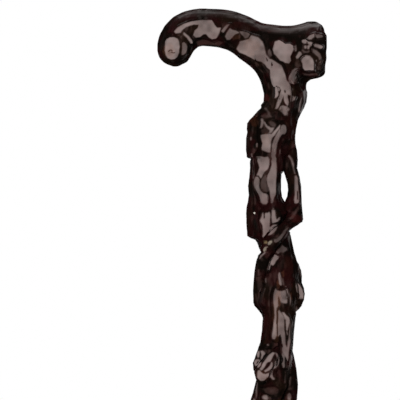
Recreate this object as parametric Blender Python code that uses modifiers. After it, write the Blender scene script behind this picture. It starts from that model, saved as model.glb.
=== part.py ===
"""Walking cane with a carved root grip, a gnarled stem and three vines wound round it.

Metres, +Z up. The origin is the middle of the rubber tip's sole. The cane is seen from
the front along +Y, with the knob towards -X and the burl towards +X. Places on the grip
are drops below the cane's top, and places on the stem are measured down from the glued
joint, so a taller cane only has a longer lower stem.
"""

import math

import bmesh
import bpy
import numpy as np
from mathutils import Vector

# Overall sizes
CANE_HEIGHT = 0.900
KNOB_REACH = 0.0911
CLEARANCE = 0.0003

# Grip: x, drop and radius along its middle line, from the knob's bend to the neck
KNOB_RADIUS = 0.0167
KNOB_DROP = 0.0355
KNOB_BEND = 0.0205
KNOB_BEND_LOW = 0.09
KNOB_BEND_ANGLES = (176, 152, 128, 106)
GRIP_DEPTH_SHARE = 0.94
GRIP_LINE = (
    (-0.0600, 0.0173, 0.0172),
    (-0.0470, 0.0182, 0.0176),
    (-0.0330, 0.0228, 0.0179),
    (-0.0217, 0.0291, 0.0181),
    (-0.0108, 0.0383, 0.0180),
    (-0.0023, 0.0503, 0.0175),
    (0.0034, 0.0640, 0.0170),
    (0.0077, 0.0779, 0.0190),
)

# The neck ends at the joint, which cuts it off square
NECK_X = 0.0079
NECK_RADIUS = 0.0195
NECK_OVERRUN = 0.0130

# Burl: x, drop and radius of the blunt knot behind the grip
BURL_DEPTH_SHARE = 0.80
BURL_LINE = (
    (-0.0200, 0.0300, 0.0185),
    (-0.0100, 0.0335, 0.0203),
    (0.0000, 0.0357, 0.0210),
    (0.0100, 0.0370, 0.0216),
    (0.0200, 0.0376, 0.0236),
    (0.0300, 0.0376, 0.0262),
    (0.0380, 0.0374, 0.0258),
    (0.0446, 0.0370, 0.0216),
)
# Knuckles on the burl's end: x, depth, drop, radius
BURL_KNUCKLES = (
    (0.0290, -0.0120, 0.0300, 0.0085),
    (0.0393, -0.0100, 0.0285, 0.0072),
    (0.0378, -0.0090, 0.0480, 0.0086),
    (0.0260, -0.0135, 0.0480, 0.0090),
    (0.0280, 0.0125, 0.0310, 0.0090),
    (0.0380, 0.0090, 0.0400, 0.0080),
    (0.0270, 0.0130, 0.0500, 0.0085),
)
# Root strands that stand proud of the neck: x, depth, drop and radius, then where each
# runs out through the joint: x, depth, radius
NECK_ROOTS = (
    (
        (
            (-0.0150, -0.0135, 0.0440, 0.0050),
            (-0.0010, -0.0150, 0.0640, 0.0048),
            (0.0010, -0.0165, 0.0780, 0.0042),
        ),
        (0.0000, -0.0165, 0.0036),
    ),
    (
        (
            (0.0060, -0.0160, 0.0420, 0.0055),
            (0.0110, -0.0165, 0.0620, 0.0046),
            (0.0125, -0.0165, 0.0790, 0.0042),
        ),
        (0.0130, -0.0160, 0.0036),
    ),
    (
        (
            (0.0050, 0.0160, 0.0420, 0.0060),
            (0.0060, 0.0155, 0.0620, 0.0052),
            (0.0110, 0.0165, 0.0800, 0.0044),
        ),
        (0.0140, 0.0155, 0.0036),
    ),
    (
        (
            (0.0200, 0.0060, 0.0560, 0.0060),
            (0.0235, 0.0050, 0.0720, 0.0050),
        ),
        (0.0240, 0.0040, 0.0040),
    ),
)
GRIP_ROW_STEP = 0.0060
GRIP_BEVEL = 8
ROOT_BEVEL = 3
KNUCKLE_TURNS = 14
KNUCKLE_RINGS = 8
HANDLE_VOXEL = 0.0040
SOFTEN_SHARE = 0.5
SOFTEN_ROUNDS = 2

# Glued joint between the neck and the stem
JOINT_DROP = 0.0860
DOWEL_X = 0.0030
DOWEL_RADIUS = 0.0060
DOWEL_LENGTH = 0.0500
DOWEL_FLUTES = 12
FLUTE_DEPTH = 0.0006
DOWEL_CHAMFER = 0.0010

# Stem: distance below the joint, middle x, half width and half depth, as far as the photo shows
STEM_STATIONS = (
    (0.0003, 0.0079, 0.0194, 0.0184),
    (0.0072, 0.0030, 0.0207, 0.0188),
    (0.0162, -0.0030, 0.0224, 0.0194),
    (0.0260, -0.0046, 0.0222, 0.0196),
    (0.0342, -0.0051, 0.0218, 0.0194),
    (0.0450, -0.0063, 0.0200, 0.0188),
    (0.0512, -0.0062, 0.0165, 0.0170),
    (0.0590, -0.0068, 0.0134, 0.0155),
    (0.0774, -0.0086, 0.0130, 0.0148),
    (0.0890, -0.0076, 0.0142, 0.0152),
    (0.1044, -0.0050, 0.0166, 0.0158),
    (0.1160, -0.0038, 0.0168, 0.0156),
    (0.1278, 0.0000, 0.0153, 0.0152),
    (0.1422, 0.0014, 0.0166, 0.0156),
    (0.1629, 0.0023, 0.0175, 0.0160),
    (0.1809, 0.0025, 0.0168, 0.0158),
    (0.1944, 0.0028, 0.0147, 0.0150),
    (0.2079, 0.0017, 0.0144, 0.0146),
    (0.2214, -0.0002, 0.0153, 0.0146),
    (0.2349, -0.0014, 0.0165, 0.0150),
    (0.2484, -0.0007, 0.0158, 0.0148),
    (0.2664, -0.0007, 0.0152, 0.0144),
)
# Below them the stem tapers with a slow sway to its foot, a shoulder over the rubber tip
SHOULDER_STEP = 0.0014
SHOULDER_GAP = 0.0020
SHOULDER_FALL = 0.0006
SWAY = 0.0030
SWAY_LENGTH = 0.330
SWELL = 0.0009
SWELL_LENGTH = 0.075
STEM_RING_STEP = 0.0060
LOWER_RING_STEP = 0.0150
STEM_SIDES = 20

# Root ridges along the stem: angle from +X towards the front, height, half width
RIDGES = (
    (math.radians(95), 0.0014, math.radians(17)),
    (math.radians(161), 0.0010, math.radians(20)),
    (math.radians(249), 0.0016, math.radians(18)),
    (math.radians(321), 0.0013, math.radians(20)),
)
# They turn, wander and swell on the way down, in radians and shares per metre
RIDGE_TURN = 2.2
RIDGE_WANDER = 0.35
RIDGE_WANDER_RATE = 23.0
RIDGE_SWELL = 0.5
RIDGE_SWELL_RATE = 41.0
RELIEF_FADE_AT_JOINT = 0.012
RELIEF_FADE_AT_FOOT = 0.060
# Knots on the stem: distance below the joint, angle, height, half length, half angle
KNOTS = (
    (0.0240, math.radians(62), 0.0030, 0.0080, math.radians(16)),
    (0.0150, math.radians(150), 0.0020, 0.0090, math.radians(26)),
    (0.0370, math.radians(250), 0.0030, 0.0120, math.radians(24)),
    (0.1040, math.radians(118), 0.0022, 0.0120, math.radians(20)),
    (0.1640, math.radians(70), 0.0020, 0.0160, math.radians(24)),
    (0.2220, math.radians(150), 0.0030, 0.0050, math.radians(18)),
    (0.2320, math.radians(172), 0.0036, 0.0045, math.radians(16)),
    (0.2470, math.radians(146), 0.0026, 0.0055, math.radians(20)),
    (0.2140, math.radians(290), 0.0030, 0.0120, math.radians(26)),
)

# Vines: x, depth, distance below the joint and radius of the stretches that the photo shows
RIGHT_VINE = (
    (0.0152, -0.0026, 0.0290, 0.0020),
    (0.0138, -0.0032, 0.0350, 0.0042),
    (0.0132, -0.0034, 0.0430, 0.0056),
    (0.0138, -0.0026, 0.0540, 0.0058),
    (0.0151, -0.0020, 0.0670, 0.0060),
    (0.0167, -0.0015, 0.0780, 0.0058),
    (0.0168, -0.0030, 0.0890, 0.0064),
    (0.0164, -0.0072, 0.1008, 0.0075),
    (0.0105, -0.0142, 0.1100, 0.0074),
    (0.0012, -0.0178, 0.1188, 0.0071),
    (-0.0070, -0.0163, 0.1292, 0.0067),
    (-0.0118, -0.0108, 0.1415, 0.0066),
    (-0.0140, -0.0018, 0.1590, 0.0063),
    (-0.0140, 0.0056, 0.1760, 0.0061),
    (-0.0082, 0.0125, 0.1900, 0.0058),
    (0.0024, 0.0168, 0.2030, 0.0058),
    (0.0096, 0.0132, 0.2170, 0.0058),
    (0.0112, 0.0064, 0.2290, 0.0057),
    (0.0137, -0.0010, 0.2420, 0.0057),
    (0.0138, -0.0056, 0.2540, 0.0057),
)
LEFT_VINE = (
    (-0.0225, -0.0010, 0.0340, 0.0020),
    (-0.0200, -0.0006, 0.0440, 0.0040),
    (-0.0178, 0.0000, 0.0560, 0.0052),
    (-0.0189, 0.0006, 0.0690, 0.0056),
    (-0.0195, 0.0012, 0.0860, 0.0058),
    (-0.0202, 0.0020, 0.1000, 0.0064),
    (-0.0184, 0.0050, 0.1120, 0.0067),
    (-0.0090, 0.0142, 0.1250, 0.0066),
    (0.0000, 0.0180, 0.1350, 0.0065),
    (0.0110, 0.0150, 0.1450, 0.0063),
    (0.0178, 0.0075, 0.1570, 0.0060),
    (0.0197, 0.0025, 0.1690, 0.0062),
    (0.0170, 0.0028, 0.1810, 0.0056),
    (0.0140, 0.0040, 0.1890, 0.0030),
)
LOWER_VINE = (
    (0.0020, -0.0150, 0.2200, 0.0022),
    (-0.0012, -0.0150, 0.2250, 0.0044),
    (-0.0070, -0.0140, 0.2330, 0.0064),
    (-0.0120, -0.0098, 0.2430, 0.0062),
    (-0.0142, -0.0040, 0.2540, 0.0058),
)
# Further down both long vines wind on evenly and thin out towards the foot
VINE_PITCH = 0.165
VINE_LOWEST_RADIUS = 0.0036
VINE_SIT = 0.0008
VINE_SIT_RAMP = 6.0
VINE_WINDING_STEP = 0.012
VINE_END_LENGTH = 0.040
VINE_END_RADIUS = 0.0014
RIGHT_VINE_FOOT = 0.100
LOWER_VINE_FOOT = 0.150
VINE_ROW_STEP = 0.0100
VINE_BEVEL = 3
VINE_END_RINGS = 2

# Rubber tip, its washer and the turned end of the stem inside it
SPIGOT_RADIUS = 0.0108
SPIGOT_CHAMFER = 0.0010
TIP_SOLE = 0.0090
TIP_WALL = 0.0034
TIP_HEIGHT = 0.0460
TIP_RIM = 0.0012
TIP_RIM_HEIGHT = 0.0040
TIP_RIM_SLOPE = 0.0015
TIP_RIM_ROUND = 0.0010
TIP_FLARE = 0.0040
TIP_FLARE_HEIGHT = 0.0080
TIP_FLARE_BEND_HEIGHT = 0.0030
TIP_FLARE_BEND_SHARE = 0.35
TIP_FOOT_HEIGHT = 0.0065
TIP_SOLE_CHAMFER = 0.0012
TIP_SOLE_CHAMFER_HEIGHT = 0.0015
TREAD_RINGS = 2
TREAD_WIDTH = 0.0016
TREAD_DEPTH = 0.0015
TREAD_PITCH = 0.0045
TREAD_FIRST = 0.0060
TREAD_SIDE = 0.0004
WASHER_THICKNESS = 0.0020
WASHER_HOLE_RADIUS = 0.0030
TIP_STEPS = 28

# Modelling limits: how far cutters run past what they cut, vertices that count as one,
# and the part of a ring left open as a dome's flat end
CUT_OVERRUN = 0.010
CUT_REACH = 0.060
MERGE_DISTANCE = 0.000001
DOME_END_SHARE = 0.35


def height(drop):
    """Height above the floor of a point that far below the cane's top."""
    return CANE_HEIGHT - drop


def stem_height(below):
    """Height above the floor of a point that far below the joint."""
    return height(JOINT_DROP + below)


def clear_scene():
    """Takes away whatever the scene holds."""
    for old in list(bpy.data.objects):
        bpy.data.objects.remove(old, do_unlink=True)


def new_collection(name, hidden):
    """A collection in the scene, left out of renders if it is hidden."""
    made = bpy.data.collections.new(name)
    made.hide_render = hidden
    bpy.context.scene.collection.children.link(made)
    return made


def material(name, colour, roughness, metallic):
    """A Principled material of one colour."""
    made = bpy.data.materials.new(name)
    made.use_nodes = True
    shader = made.node_tree.nodes["Principled BSDF"]
    shader.inputs["Base Color"].default_value = (*colour, 1.0)
    shader.inputs["Roughness"].default_value = roughness
    shader.inputs["Metallic"].default_value = metallic
    return made


def add_object(name, mesh, collection, finish=None):
    """Puts a mesh in the scene as a named object."""
    made = bpy.data.objects.new(name, mesh)
    collection.objects.link(made)
    if finish:
        mesh.materials.clear()
        mesh.materials.append(finish)
        mesh.shade_smooth()
    return made


def spline_through(rows, step):
    """Points about a step apart on a smooth curve through rows, with all their columns."""
    rows = np.array(rows, float)
    spans = np.linalg.norm(np.diff(rows[:, :3], axis=0), axis=1)
    knots = np.concatenate([[0.0], np.cumsum(spans)])
    slopes = np.gradient(rows, knots, axis=0)
    along = np.linspace(0.0, knots[-1], max(4, round(knots[-1] / step) + 1))
    index = np.clip(np.searchsorted(knots, along, side="right") - 1, 0, len(knots) - 2)
    span = (knots[index + 1] - knots[index])[:, None]
    t = (along[:, None] - knots[index][:, None]) / span
    return (
        (2 * t**3 - 3 * t**2 + 1) * rows[index]
        + (t**3 - 2 * t**2 + t) * span * slopes[index]
        + (3 * t**2 - 2 * t**3) * rows[index + 1]
        + (t**3 - t**2) * span * slopes[index + 1]
    )


def with_round_ends(rows, first=True, last=True, steps=4):
    """Adds shrinking points past the ends, so that a tube through them ends in a dome."""
    rows = [np.array(row) for row in rows]
    quarter = [math.pi / 2 * (k + 1) / (steps + DOME_END_SHARE) for k in range(steps)]

    def dome(end, inner):
        way = (end - inner)[:3] / np.linalg.norm((end - inner)[:3])
        return [
            np.array([*(end[:3] + way * end[3] * math.sin(a)), end[3] * math.cos(a)])
            for a in quarter
        ]

    before = dome(rows[0], rows[1])[::-1] if first else []
    after = dome(rows[-1], rows[-2]) if last else []
    return np.array(before + rows + after)


def grown(rows, extra):
    """The same tube rows, thicker all round and longer at both ends."""
    rows = np.array(rows)
    rows[:, 3] += extra
    for end, inner in ((0, 1), (-1, -2)):
        way = rows[end, :3] - rows[inner, :3]
        rows[end, :3] += way / np.linalg.norm(way) * extra
    return rows


def tube_mesh(name, rows, bevel, depth_share=1.0):
    """A closed tube through rows of x, y, z and radius, made from a bevelled curve."""
    curve = bpy.data.curves.new(name, "CURVE")
    curve.dimensions = "3D"
    curve.bevel_depth = 1.0
    curve.bevel_resolution = bevel
    curve.use_fill_caps = True
    spline = curve.splines.new("POLY")
    spline.points.add(len(rows) - 1)
    for point, (x, y, z, radius) in zip(spline.points, rows):
        point.co = (x, y, z, 1.0)
        point.radius = radius
    holder = bpy.data.objects.new(name, curve)
    bpy.context.scene.collection.objects.link(holder)
    bpy.context.view_layer.update()
    graph = bpy.context.evaluated_depsgraph_get()
    mesh = bpy.data.meshes.new_from_object(holder.evaluated_get(graph))
    bpy.data.objects.remove(holder, do_unlink=True)
    bpy.data.curves.remove(curve)
    shape = bmesh.new()
    shape.from_mesh(mesh)
    bmesh.ops.remove_doubles(shape, verts=shape.verts, dist=MERGE_DISTANCE)
    bmesh.ops.scale(shape, vec=(1.0, depth_share, 1.0), verts=shape.verts)
    bmesh.ops.recalc_face_normals(shape, faces=shape.faces)
    shape.to_mesh(mesh)
    shape.free()
    return mesh


def cylinder_mesh(name, radius, bottom, top, centre=(0.0, 0.0), sides=32):
    """A closed upright cylinder."""
    shape = bmesh.new()
    bmesh.ops.create_cone(
        shape, cap_ends=True, segments=sides, radius1=radius, radius2=radius, depth=top - bottom
    )
    bmesh.ops.translate(shape, verts=shape.verts, vec=(*centre, (top + bottom) / 2))
    mesh = bpy.data.meshes.new(name)
    shape.to_mesh(mesh)
    shape.free()
    return mesh


def box_mesh(name, low, high):
    """A closed box between two corners."""
    shape = bmesh.new()
    bmesh.ops.create_cube(shape, size=1.0)
    bmesh.ops.scale(shape, vec=Vector(high) - Vector(low), verts=shape.verts)
    bmesh.ops.translate(shape, verts=shape.verts, vec=(Vector(low) + Vector(high)) / 2)
    mesh = bpy.data.meshes.new(name)
    shape.to_mesh(mesh)
    shape.free()
    return mesh


def cut(target, cutter_mesh, cutters):
    """Subtracts a mesh from an object by a Boolean that stays on it."""
    cutter = add_object(cutter_mesh.name, cutter_mesh, cutters)
    cutter.hide_render = True
    cutter.display_type = "WIRE"
    boolean = target.modifiers.new(cutter_mesh.name, "BOOLEAN")
    boolean.operation = "DIFFERENCE"
    boolean.solver = "EXACT"
    boolean.object = cutter


def grip_rows():
    """The grip's middle line as x, y, z and radius: a bend round the knob, then the grip's own points."""
    middle_x = KNOB_BEND - KNOB_REACH
    bend = []
    for angle in np.radians(KNOB_BEND_ANGLES):
        x = middle_x + KNOB_BEND * math.cos(angle)
        drop = KNOB_DROP + KNOB_BEND * (KNOB_BEND_LOW - math.sin(angle))
        bend.append((x, drop, KNOB_RADIUS))
    neck_end = (NECK_X, JOINT_DROP + NECK_OVERRUN, NECK_RADIUS)
    line = (*bend, *GRIP_LINE, neck_end)
    rows = [(x, 0.0, height(drop), radius) for x, drop, radius in line]
    return with_round_ends(spline_through(rows, GRIP_ROW_STEP), last=False)


def burl_rows():
    """The burl's middle line as x, y, z and radius."""
    rows = [(x, 0.0, height(drop), radius) for x, drop, radius in BURL_LINE]
    return spline_through(rows, GRIP_ROW_STEP)


def neck_root_rows(points, end):
    """One root strand down the neck and out through the joint, as x, y, z and radius."""
    rows = [(x, y, height(drop), radius) for x, y, drop, radius in points]
    rows.append((end[0], end[1], height(JOINT_DROP + NECK_OVERRUN), end[2]))
    return with_round_ends(spline_through(rows, GRIP_ROW_STEP))


def join_meshes(name, meshes):
    """One mesh that holds all the given ones."""
    shape = bmesh.new()
    for mesh in meshes:
        shape.from_mesh(mesh)
        bpy.data.meshes.remove(mesh)
    joined = bpy.data.meshes.new(name)
    shape.to_mesh(joined)
    shape.free()
    return joined


def make_handle(parts, cutters, finish):
    """The root grip: its tubes, burl, knuckles and neck roots grown into one skin."""
    meshes = [
        tube_mesh("grip", grip_rows(), GRIP_BEVEL, GRIP_DEPTH_SHARE),
        tube_mesh("burl", burl_rows(), GRIP_BEVEL, BURL_DEPTH_SHARE),
    ]
    for x, y, drop, radius in BURL_KNUCKLES:
        shape = bmesh.new()
        bmesh.ops.create_uvsphere(
            shape, u_segments=KNUCKLE_TURNS, v_segments=KNUCKLE_RINGS, radius=radius
        )
        bmesh.ops.translate(shape, verts=shape.verts, vec=(x, y, height(drop)))
        meshes.append(bpy.data.meshes.new("knuckle"))
        shape.to_mesh(meshes[-1])
        shape.free()
    for points, end in NECK_ROOTS:
        meshes.append(tube_mesh("neck_root", neck_root_rows(points, end), ROOT_BEVEL))
    handle = add_object("handle", join_meshes("handle", meshes), parts, finish)
    skin = handle.modifiers.new("one_skin", "REMESH")
    skin.mode = "VOXEL"
    skin.voxel_size = HANDLE_VOXEL
    skin.use_smooth_shade = True
    soften = handle.modifiers.new("soften", "SMOOTH")
    soften.factor = SOFTEN_SHARE
    soften.iterations = SOFTEN_ROUNDS
    joint = height(JOINT_DROP)
    low = (-CUT_REACH, -CUT_REACH, joint - CUT_REACH)
    cut(handle, box_mesh("neck_end", low, (CUT_REACH, CUT_REACH, joint)), cutters)
    cut(handle, dowel_bore("neck_bore", joint - CUT_OVERRUN, dowel_top() + CLEARANCE), cutters)
    return handle


def dowel_top():
    """Height of the dowel's upper end, which lies half in the neck and half in the stem."""
    return height(JOINT_DROP) + (DOWEL_LENGTH - CLEARANCE) / 2


def dowel_bore(name, bottom, top):
    """The cutter for one end of the dowel's hole."""
    return cylinder_mesh(name, DOWEL_RADIUS + CLEARANCE, bottom, top, (DOWEL_X, 0.0))


def make_dowel(parts, finish):
    """The fluted dowel that is glued into the neck and the stem."""
    flat = bpy.data.curves.new("joint_dowel", "CURVE")
    flat.dimensions = "2D"
    flat.fill_mode = "BOTH"
    flat.extrude = DOWEL_LENGTH / 2 - DOWEL_CHAMFER
    flat.bevel_depth = DOWEL_CHAMFER
    flat.bevel_resolution = 0
    flat.offset = -DOWEL_CHAMFER
    outline = flat.splines.new("POLY")
    outline.use_cyclic_u = True
    count = 4 * DOWEL_FLUTES
    outline.points.add(count - 1)
    for k, point in enumerate(outline.points):
        radius = DOWEL_RADIUS - (FLUTE_DEPTH if k % 4 == 0 else 0.0)
        angle = 2 * math.pi * k / count
        point.co = (radius * math.cos(angle), radius * math.sin(angle), 0.0, 1.0)
    holder = bpy.data.objects.new("joint_dowel_outline", flat)
    bpy.context.scene.collection.objects.link(holder)
    bpy.context.view_layer.update()
    graph = bpy.context.evaluated_depsgraph_get()
    mesh = bpy.data.meshes.new_from_object(holder.evaluated_get(graph))
    bpy.data.objects.remove(holder, do_unlink=True)
    bpy.data.curves.remove(flat)
    shape = bmesh.new()
    shape.from_mesh(mesh)
    bmesh.ops.remove_doubles(shape, verts=shape.verts, dist=MERGE_DISTANCE)
    bmesh.ops.recalc_face_normals(shape, faces=shape.faces)
    shape.to_mesh(mesh)
    shape.free()
    dowel = add_object("joint_dowel", mesh, parts, finish)
    dowel.location = (DOWEL_X, 0.0, dowel_top() - DOWEL_LENGTH / 2)
    return dowel


def shoulder_height():
    """Height of the stem's shoulder, just clear of the rubber tip's rim."""
    return TIP_HEIGHT + SHOULDER_GAP


def stem_station(z):
    """Middle x, half width and half depth of the stem's core at a height."""
    table = np.array(STEM_STATIONS)
    below = stem_height(0.0) - z
    if below <= table[-1, 0]:
        return tuple(smooth_column(table[:, 0], table[:, k], below) for k in (1, 2, 3))
    top = stem_height(table[-1, 0])
    foot_radius = SPIGOT_RADIUS + SHOULDER_STEP
    share = (top - z) / (top - shoulder_height())
    swell = SWELL * math.sin(2 * math.pi * (top - z) / SWELL_LENGTH) * math.sin(math.pi * share)
    width = table[-1, 2] + (foot_radius - table[-1, 2]) * share + swell
    depth = table[-1, 3] + (foot_radius - table[-1, 3]) * share + swell
    middle = table[-1, 1] * (1 - share)
    middle += SWAY * math.sin(2 * math.pi * (top - z) / SWAY_LENGTH) * math.sin(math.pi * share)
    return middle, width, depth


def smooth_column(places, values, at):
    """A cubic through table values that never overshoots between them."""
    slopes = np.diff(values) / np.diff(places)
    inner = np.where(slopes[1:] * slopes[:-1] > 0, 2 * slopes[1:] * slopes[:-1], 0.0)
    total = slopes[1:] + slopes[:-1]
    middle = np.divide(inner, total, out=np.zeros_like(inner), where=inner != 0)
    tangents = np.concatenate([[slopes[0]], middle, [slopes[-1]]])
    k = int(np.clip(np.searchsorted(places, at, side="right") - 1, 0, len(slopes) - 1))
    span = places[k + 1] - places[k]
    t = (at - places[k]) / span
    return float(
        (2 * t**3 - 3 * t**2 + 1) * values[k]
        + (t**3 - 2 * t**2 + t) * span * tangents[k]
        + (3 * t**2 - 2 * t**3) * values[k + 1]
        + (t**3 - t**2) * span * tangents[k + 1]
    )


def angle_between(a, b):
    """The signed turn from b to a, within half a turn."""
    return (a - b + math.pi) % (2 * math.pi) - math.pi


def stem_relief(angle, z):
    """How far ridges and knots lift the stem's skin. It dies out at the joint and at the foot."""
    below = stem_height(0.0) - z
    lift = 0.0
    for first, tall, wide in RIDGES:
        wander = RIDGE_WANDER * math.sin(RIDGE_WANDER_RATE * below + first)
        swell = 1 + RIDGE_SWELL * math.sin(RIDGE_SWELL_RATE * below + 2 * first)
        gap = angle_between(angle, first + RIDGE_TURN * below + wander)
        lift += tall * swell * math.exp(-((gap / wide) ** 2))
    for knot_below, place, tall, long, wide in KNOTS:
        gap = angle_between(angle, place)
        lift += tall * math.exp(-((gap / wide) ** 2) - ((below - knot_below) / long) ** 2)
    from_joint = below / RELIEF_FADE_AT_JOINT
    from_foot = (z - shoulder_height()) / RELIEF_FADE_AT_FOOT
    return lift * min(1.0, max(0.0, from_joint)) * min(1.0, max(0.0, from_foot))


def stem_heights():
    """Heights of the stem's rings, closer together where it is gnarled."""
    top = stem_height(CLEARANCE)
    middle = stem_height(STEM_STATIONS[-1][0])
    foot = shoulder_height()
    upper = np.linspace(top, middle, round((top - middle) / STEM_RING_STEP) + 1)
    lower = np.linspace(middle, foot, round((middle - foot) / LOWER_RING_STEP) + 1)
    return [*upper, *lower[1:]]


def make_stem(parts, cutters, vines, finish):
    """The stem's core, lofted ring by ring, with a turned end and a groove for each vine."""
    shape = bmesh.new()
    rings = []
    for z in stem_heights():
        middle, width, depth = stem_station(z)
        ring = []
        for k in range(STEM_SIDES):
            angle = 2 * math.pi * k / STEM_SIDES
            lift = stem_relief(angle, z)
            x = middle + (width + lift) * math.cos(angle)
            y = -(depth + lift) * math.sin(angle)
            ring.append(shape.verts.new((x, y, z)))
        rings.append(ring)
    spigot_end = TIP_SOLE + CLEARANCE + WASHER_THICKNESS + CLEARANCE
    turns = [2 * math.pi * k / STEM_SIDES for k in range(STEM_SIDES)]
    for z, radius in (
        (shoulder_height() - SHOULDER_FALL, SPIGOT_RADIUS),
        (spigot_end + SPIGOT_CHAMFER, SPIGOT_RADIUS),
        (spigot_end, SPIGOT_RADIUS - SPIGOT_CHAMFER),
    ):
        rings.append(
            [shape.verts.new((radius * math.cos(a), -radius * math.sin(a), z)) for a in turns]
        )
    for upper, lower in zip(rings, rings[1:]):
        for k in range(STEM_SIDES):
            n = (k + 1) % STEM_SIDES
            shape.faces.new((upper[k], upper[n], lower[n], lower[k]))
    shape.faces.new(rings[0])
    shape.faces.new(rings[-1])
    bmesh.ops.recalc_face_normals(shape, faces=shape.faces)
    mesh = bpy.data.meshes.new("main_stem")
    shape.to_mesh(mesh)
    shape.free()
    stem = add_object("main_stem", mesh, parts, finish)
    for name, rows in vines.items():
        cut(stem, tube_mesh(name + "_groove", grown(rows, CLEARANCE), VINE_BEVEL), cutters)
    bore_bottom = dowel_top() - DOWEL_LENGTH - CLEARANCE
    cut(stem, dowel_bore("stem_bore", bore_bottom, stem_height(0.0) + CUT_OVERRUN), cutters)
    return stem


def wound_rows(upper, foot):
    """A vine's photographed points and then its even winding down to its foot, as x, y, z, radius."""
    rows = [(x, y, stem_height(below), radius) for x, y, below, radius in upper]
    x, y, z, radius = rows[-1]
    middle, width, depth = stem_station(z)
    start = math.atan2(-y, x - middle)
    steps = max(2, round((z - foot) / VINE_WINDING_STEP))
    for k in range(1, steps + 1):
        low = z + (foot - z) * k / steps
        share = k / steps
        ending = min(1.0, (low - foot) / VINE_END_LENGTH)
        thick = (radius + (VINE_LOWEST_RADIUS - radius) * share) * ending
        thick += VINE_END_RADIUS * (1 - ending)
        middle, width, depth = stem_station(low)
        angle = start + 2 * math.pi * (z - low) / VINE_PITCH
        out = VINE_SIT * min(1.0, VINE_SIT_RAMP * share)
        rows.append(
            (
                middle + (width + out) * math.cos(angle),
                -(depth + out) * math.sin(angle),
                low,
                thick,
            )
        )
    return with_round_ends(spline_through(rows, VINE_ROW_STEP), steps=VINE_END_RINGS)


def short_rows(points):
    """A vine that the photo shows from end to end, as x, y, z and radius."""
    rows = [(x, y, stem_height(below), radius) for x, y, below, radius in points]
    return with_round_ends(spline_through(rows, VINE_ROW_STEP), steps=VINE_END_RINGS)


def turned(name, profile, parts, finish, steps=TIP_STEPS):
    """A solid turned about the cane's axis from a closed profile of radius and height."""
    mesh = bpy.data.meshes.new(name)
    points = [(radius, 0.0, z) for radius, z in profile]
    edges = [(k, k + 1) for k in range(len(points) - 1)]
    if profile[0][0] > 0:
        edges.append((len(points) - 1, 0))
    mesh.from_pydata(points, edges, [])
    made = add_object(name, mesh, parts)
    mesh.materials.append(finish)
    screw = made.modifiers.new("turn", "SCREW")
    screw.steps = steps
    screw.render_steps = steps
    screw.use_merge_vertices = True
    screw.merge_threshold = MERGE_DISTANCE
    return made


def make_tip(parts, finish):
    """The rubber tip: a flared foot with ring treads, a sleeve and a blind bore."""
    bore = SPIGOT_RADIUS + CLEARANCE
    sleeve = bore + TIP_WALL
    rim = sleeve + TIP_RIM
    foot = sleeve + TIP_FLARE
    bend = sleeve + TIP_FLARE * TIP_FLARE_BEND_SHARE
    profile = [
        (0.0, TIP_SOLE),
        (bore, TIP_SOLE),
        (bore, TIP_HEIGHT),
        (sleeve, TIP_HEIGHT),
        (rim, TIP_HEIGHT - TIP_RIM_ROUND),
        (rim, TIP_HEIGHT - TIP_RIM_HEIGHT),
        (sleeve, TIP_HEIGHT - TIP_RIM_HEIGHT - TIP_RIM_SLOPE),
        (sleeve, TIP_FOOT_HEIGHT + TIP_FLARE_HEIGHT),
        (bend, TIP_FOOT_HEIGHT + TIP_FLARE_BEND_HEIGHT),
        (foot, TIP_FOOT_HEIGHT),
        (foot, TIP_SOLE_CHAMFER_HEIGHT),
        (foot - TIP_SOLE_CHAMFER, 0.0),
    ]
    for k in reversed(range(TREAD_RINGS)):
        inner = TREAD_FIRST + k * TREAD_PITCH
        outer = inner + TREAD_WIDTH
        profile += [
            (outer, 0.0),
            (outer - TREAD_SIDE, TREAD_DEPTH),
            (inner + TREAD_SIDE, TREAD_DEPTH),
            (inner, 0.0),
        ]
    profile.append((0.0, 0.0))
    return turned("rubber_tip", profile, parts, finish)


def make_washer(parts, finish):
    """The steel washer that keeps the stem's end from cutting through the rubber."""
    bottom = TIP_SOLE + CLEARANCE
    top = bottom + WASHER_THICKNESS
    outer = SPIGOT_RADIUS - CLEARANCE
    profile = [
        (WASHER_HOLE_RADIUS, top),
        (outer, top),
        (outer, bottom),
        (WASHER_HOLE_RADIUS, bottom),
    ]
    return turned("tip_washer", profile, parts, finish)


def main():
    """Builds the whole cane."""
    clear_scene()
    parts = new_collection("walking_cane", hidden=False)
    cutters = new_collection("cutters", hidden=True)
    lacquer = material("dark_lacquered_root", (0.020, 0.006, 0.005), 0.12, 0.0)
    red_lacquer = material("red_brown_lacquered_vine", (0.045, 0.012, 0.008), 0.14, 0.0)
    beech = material("beech_dowel", (0.62, 0.43, 0.27), 0.6, 0.0)
    rubber = material("black_rubber", (0.012, 0.012, 0.012), 0.75, 0.0)
    steel = material("zinc_plated_steel", (0.55, 0.55, 0.54), 0.35, 1.0)

    vines = {
        "right_vine": wound_rows(RIGHT_VINE, RIGHT_VINE_FOOT),
        "left_vine": short_rows(LEFT_VINE),
        "lower_vine": wound_rows(LOWER_VINE, LOWER_VINE_FOOT),
    }
    make_handle(parts, cutters, lacquer)
    make_dowel(parts, beech)
    make_stem(parts, cutters, vines, lacquer)
    for name, rows in vines.items():
        add_object(name, tube_mesh(name, rows, VINE_BEVEL), parts, red_lacquer)
    make_tip(parts, rubber)
    make_washer(parts, steel)


main()
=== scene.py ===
"""The walking cane's looks: carved root skin, dark lacquer, rubber tip and studio light."""

import math

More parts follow.
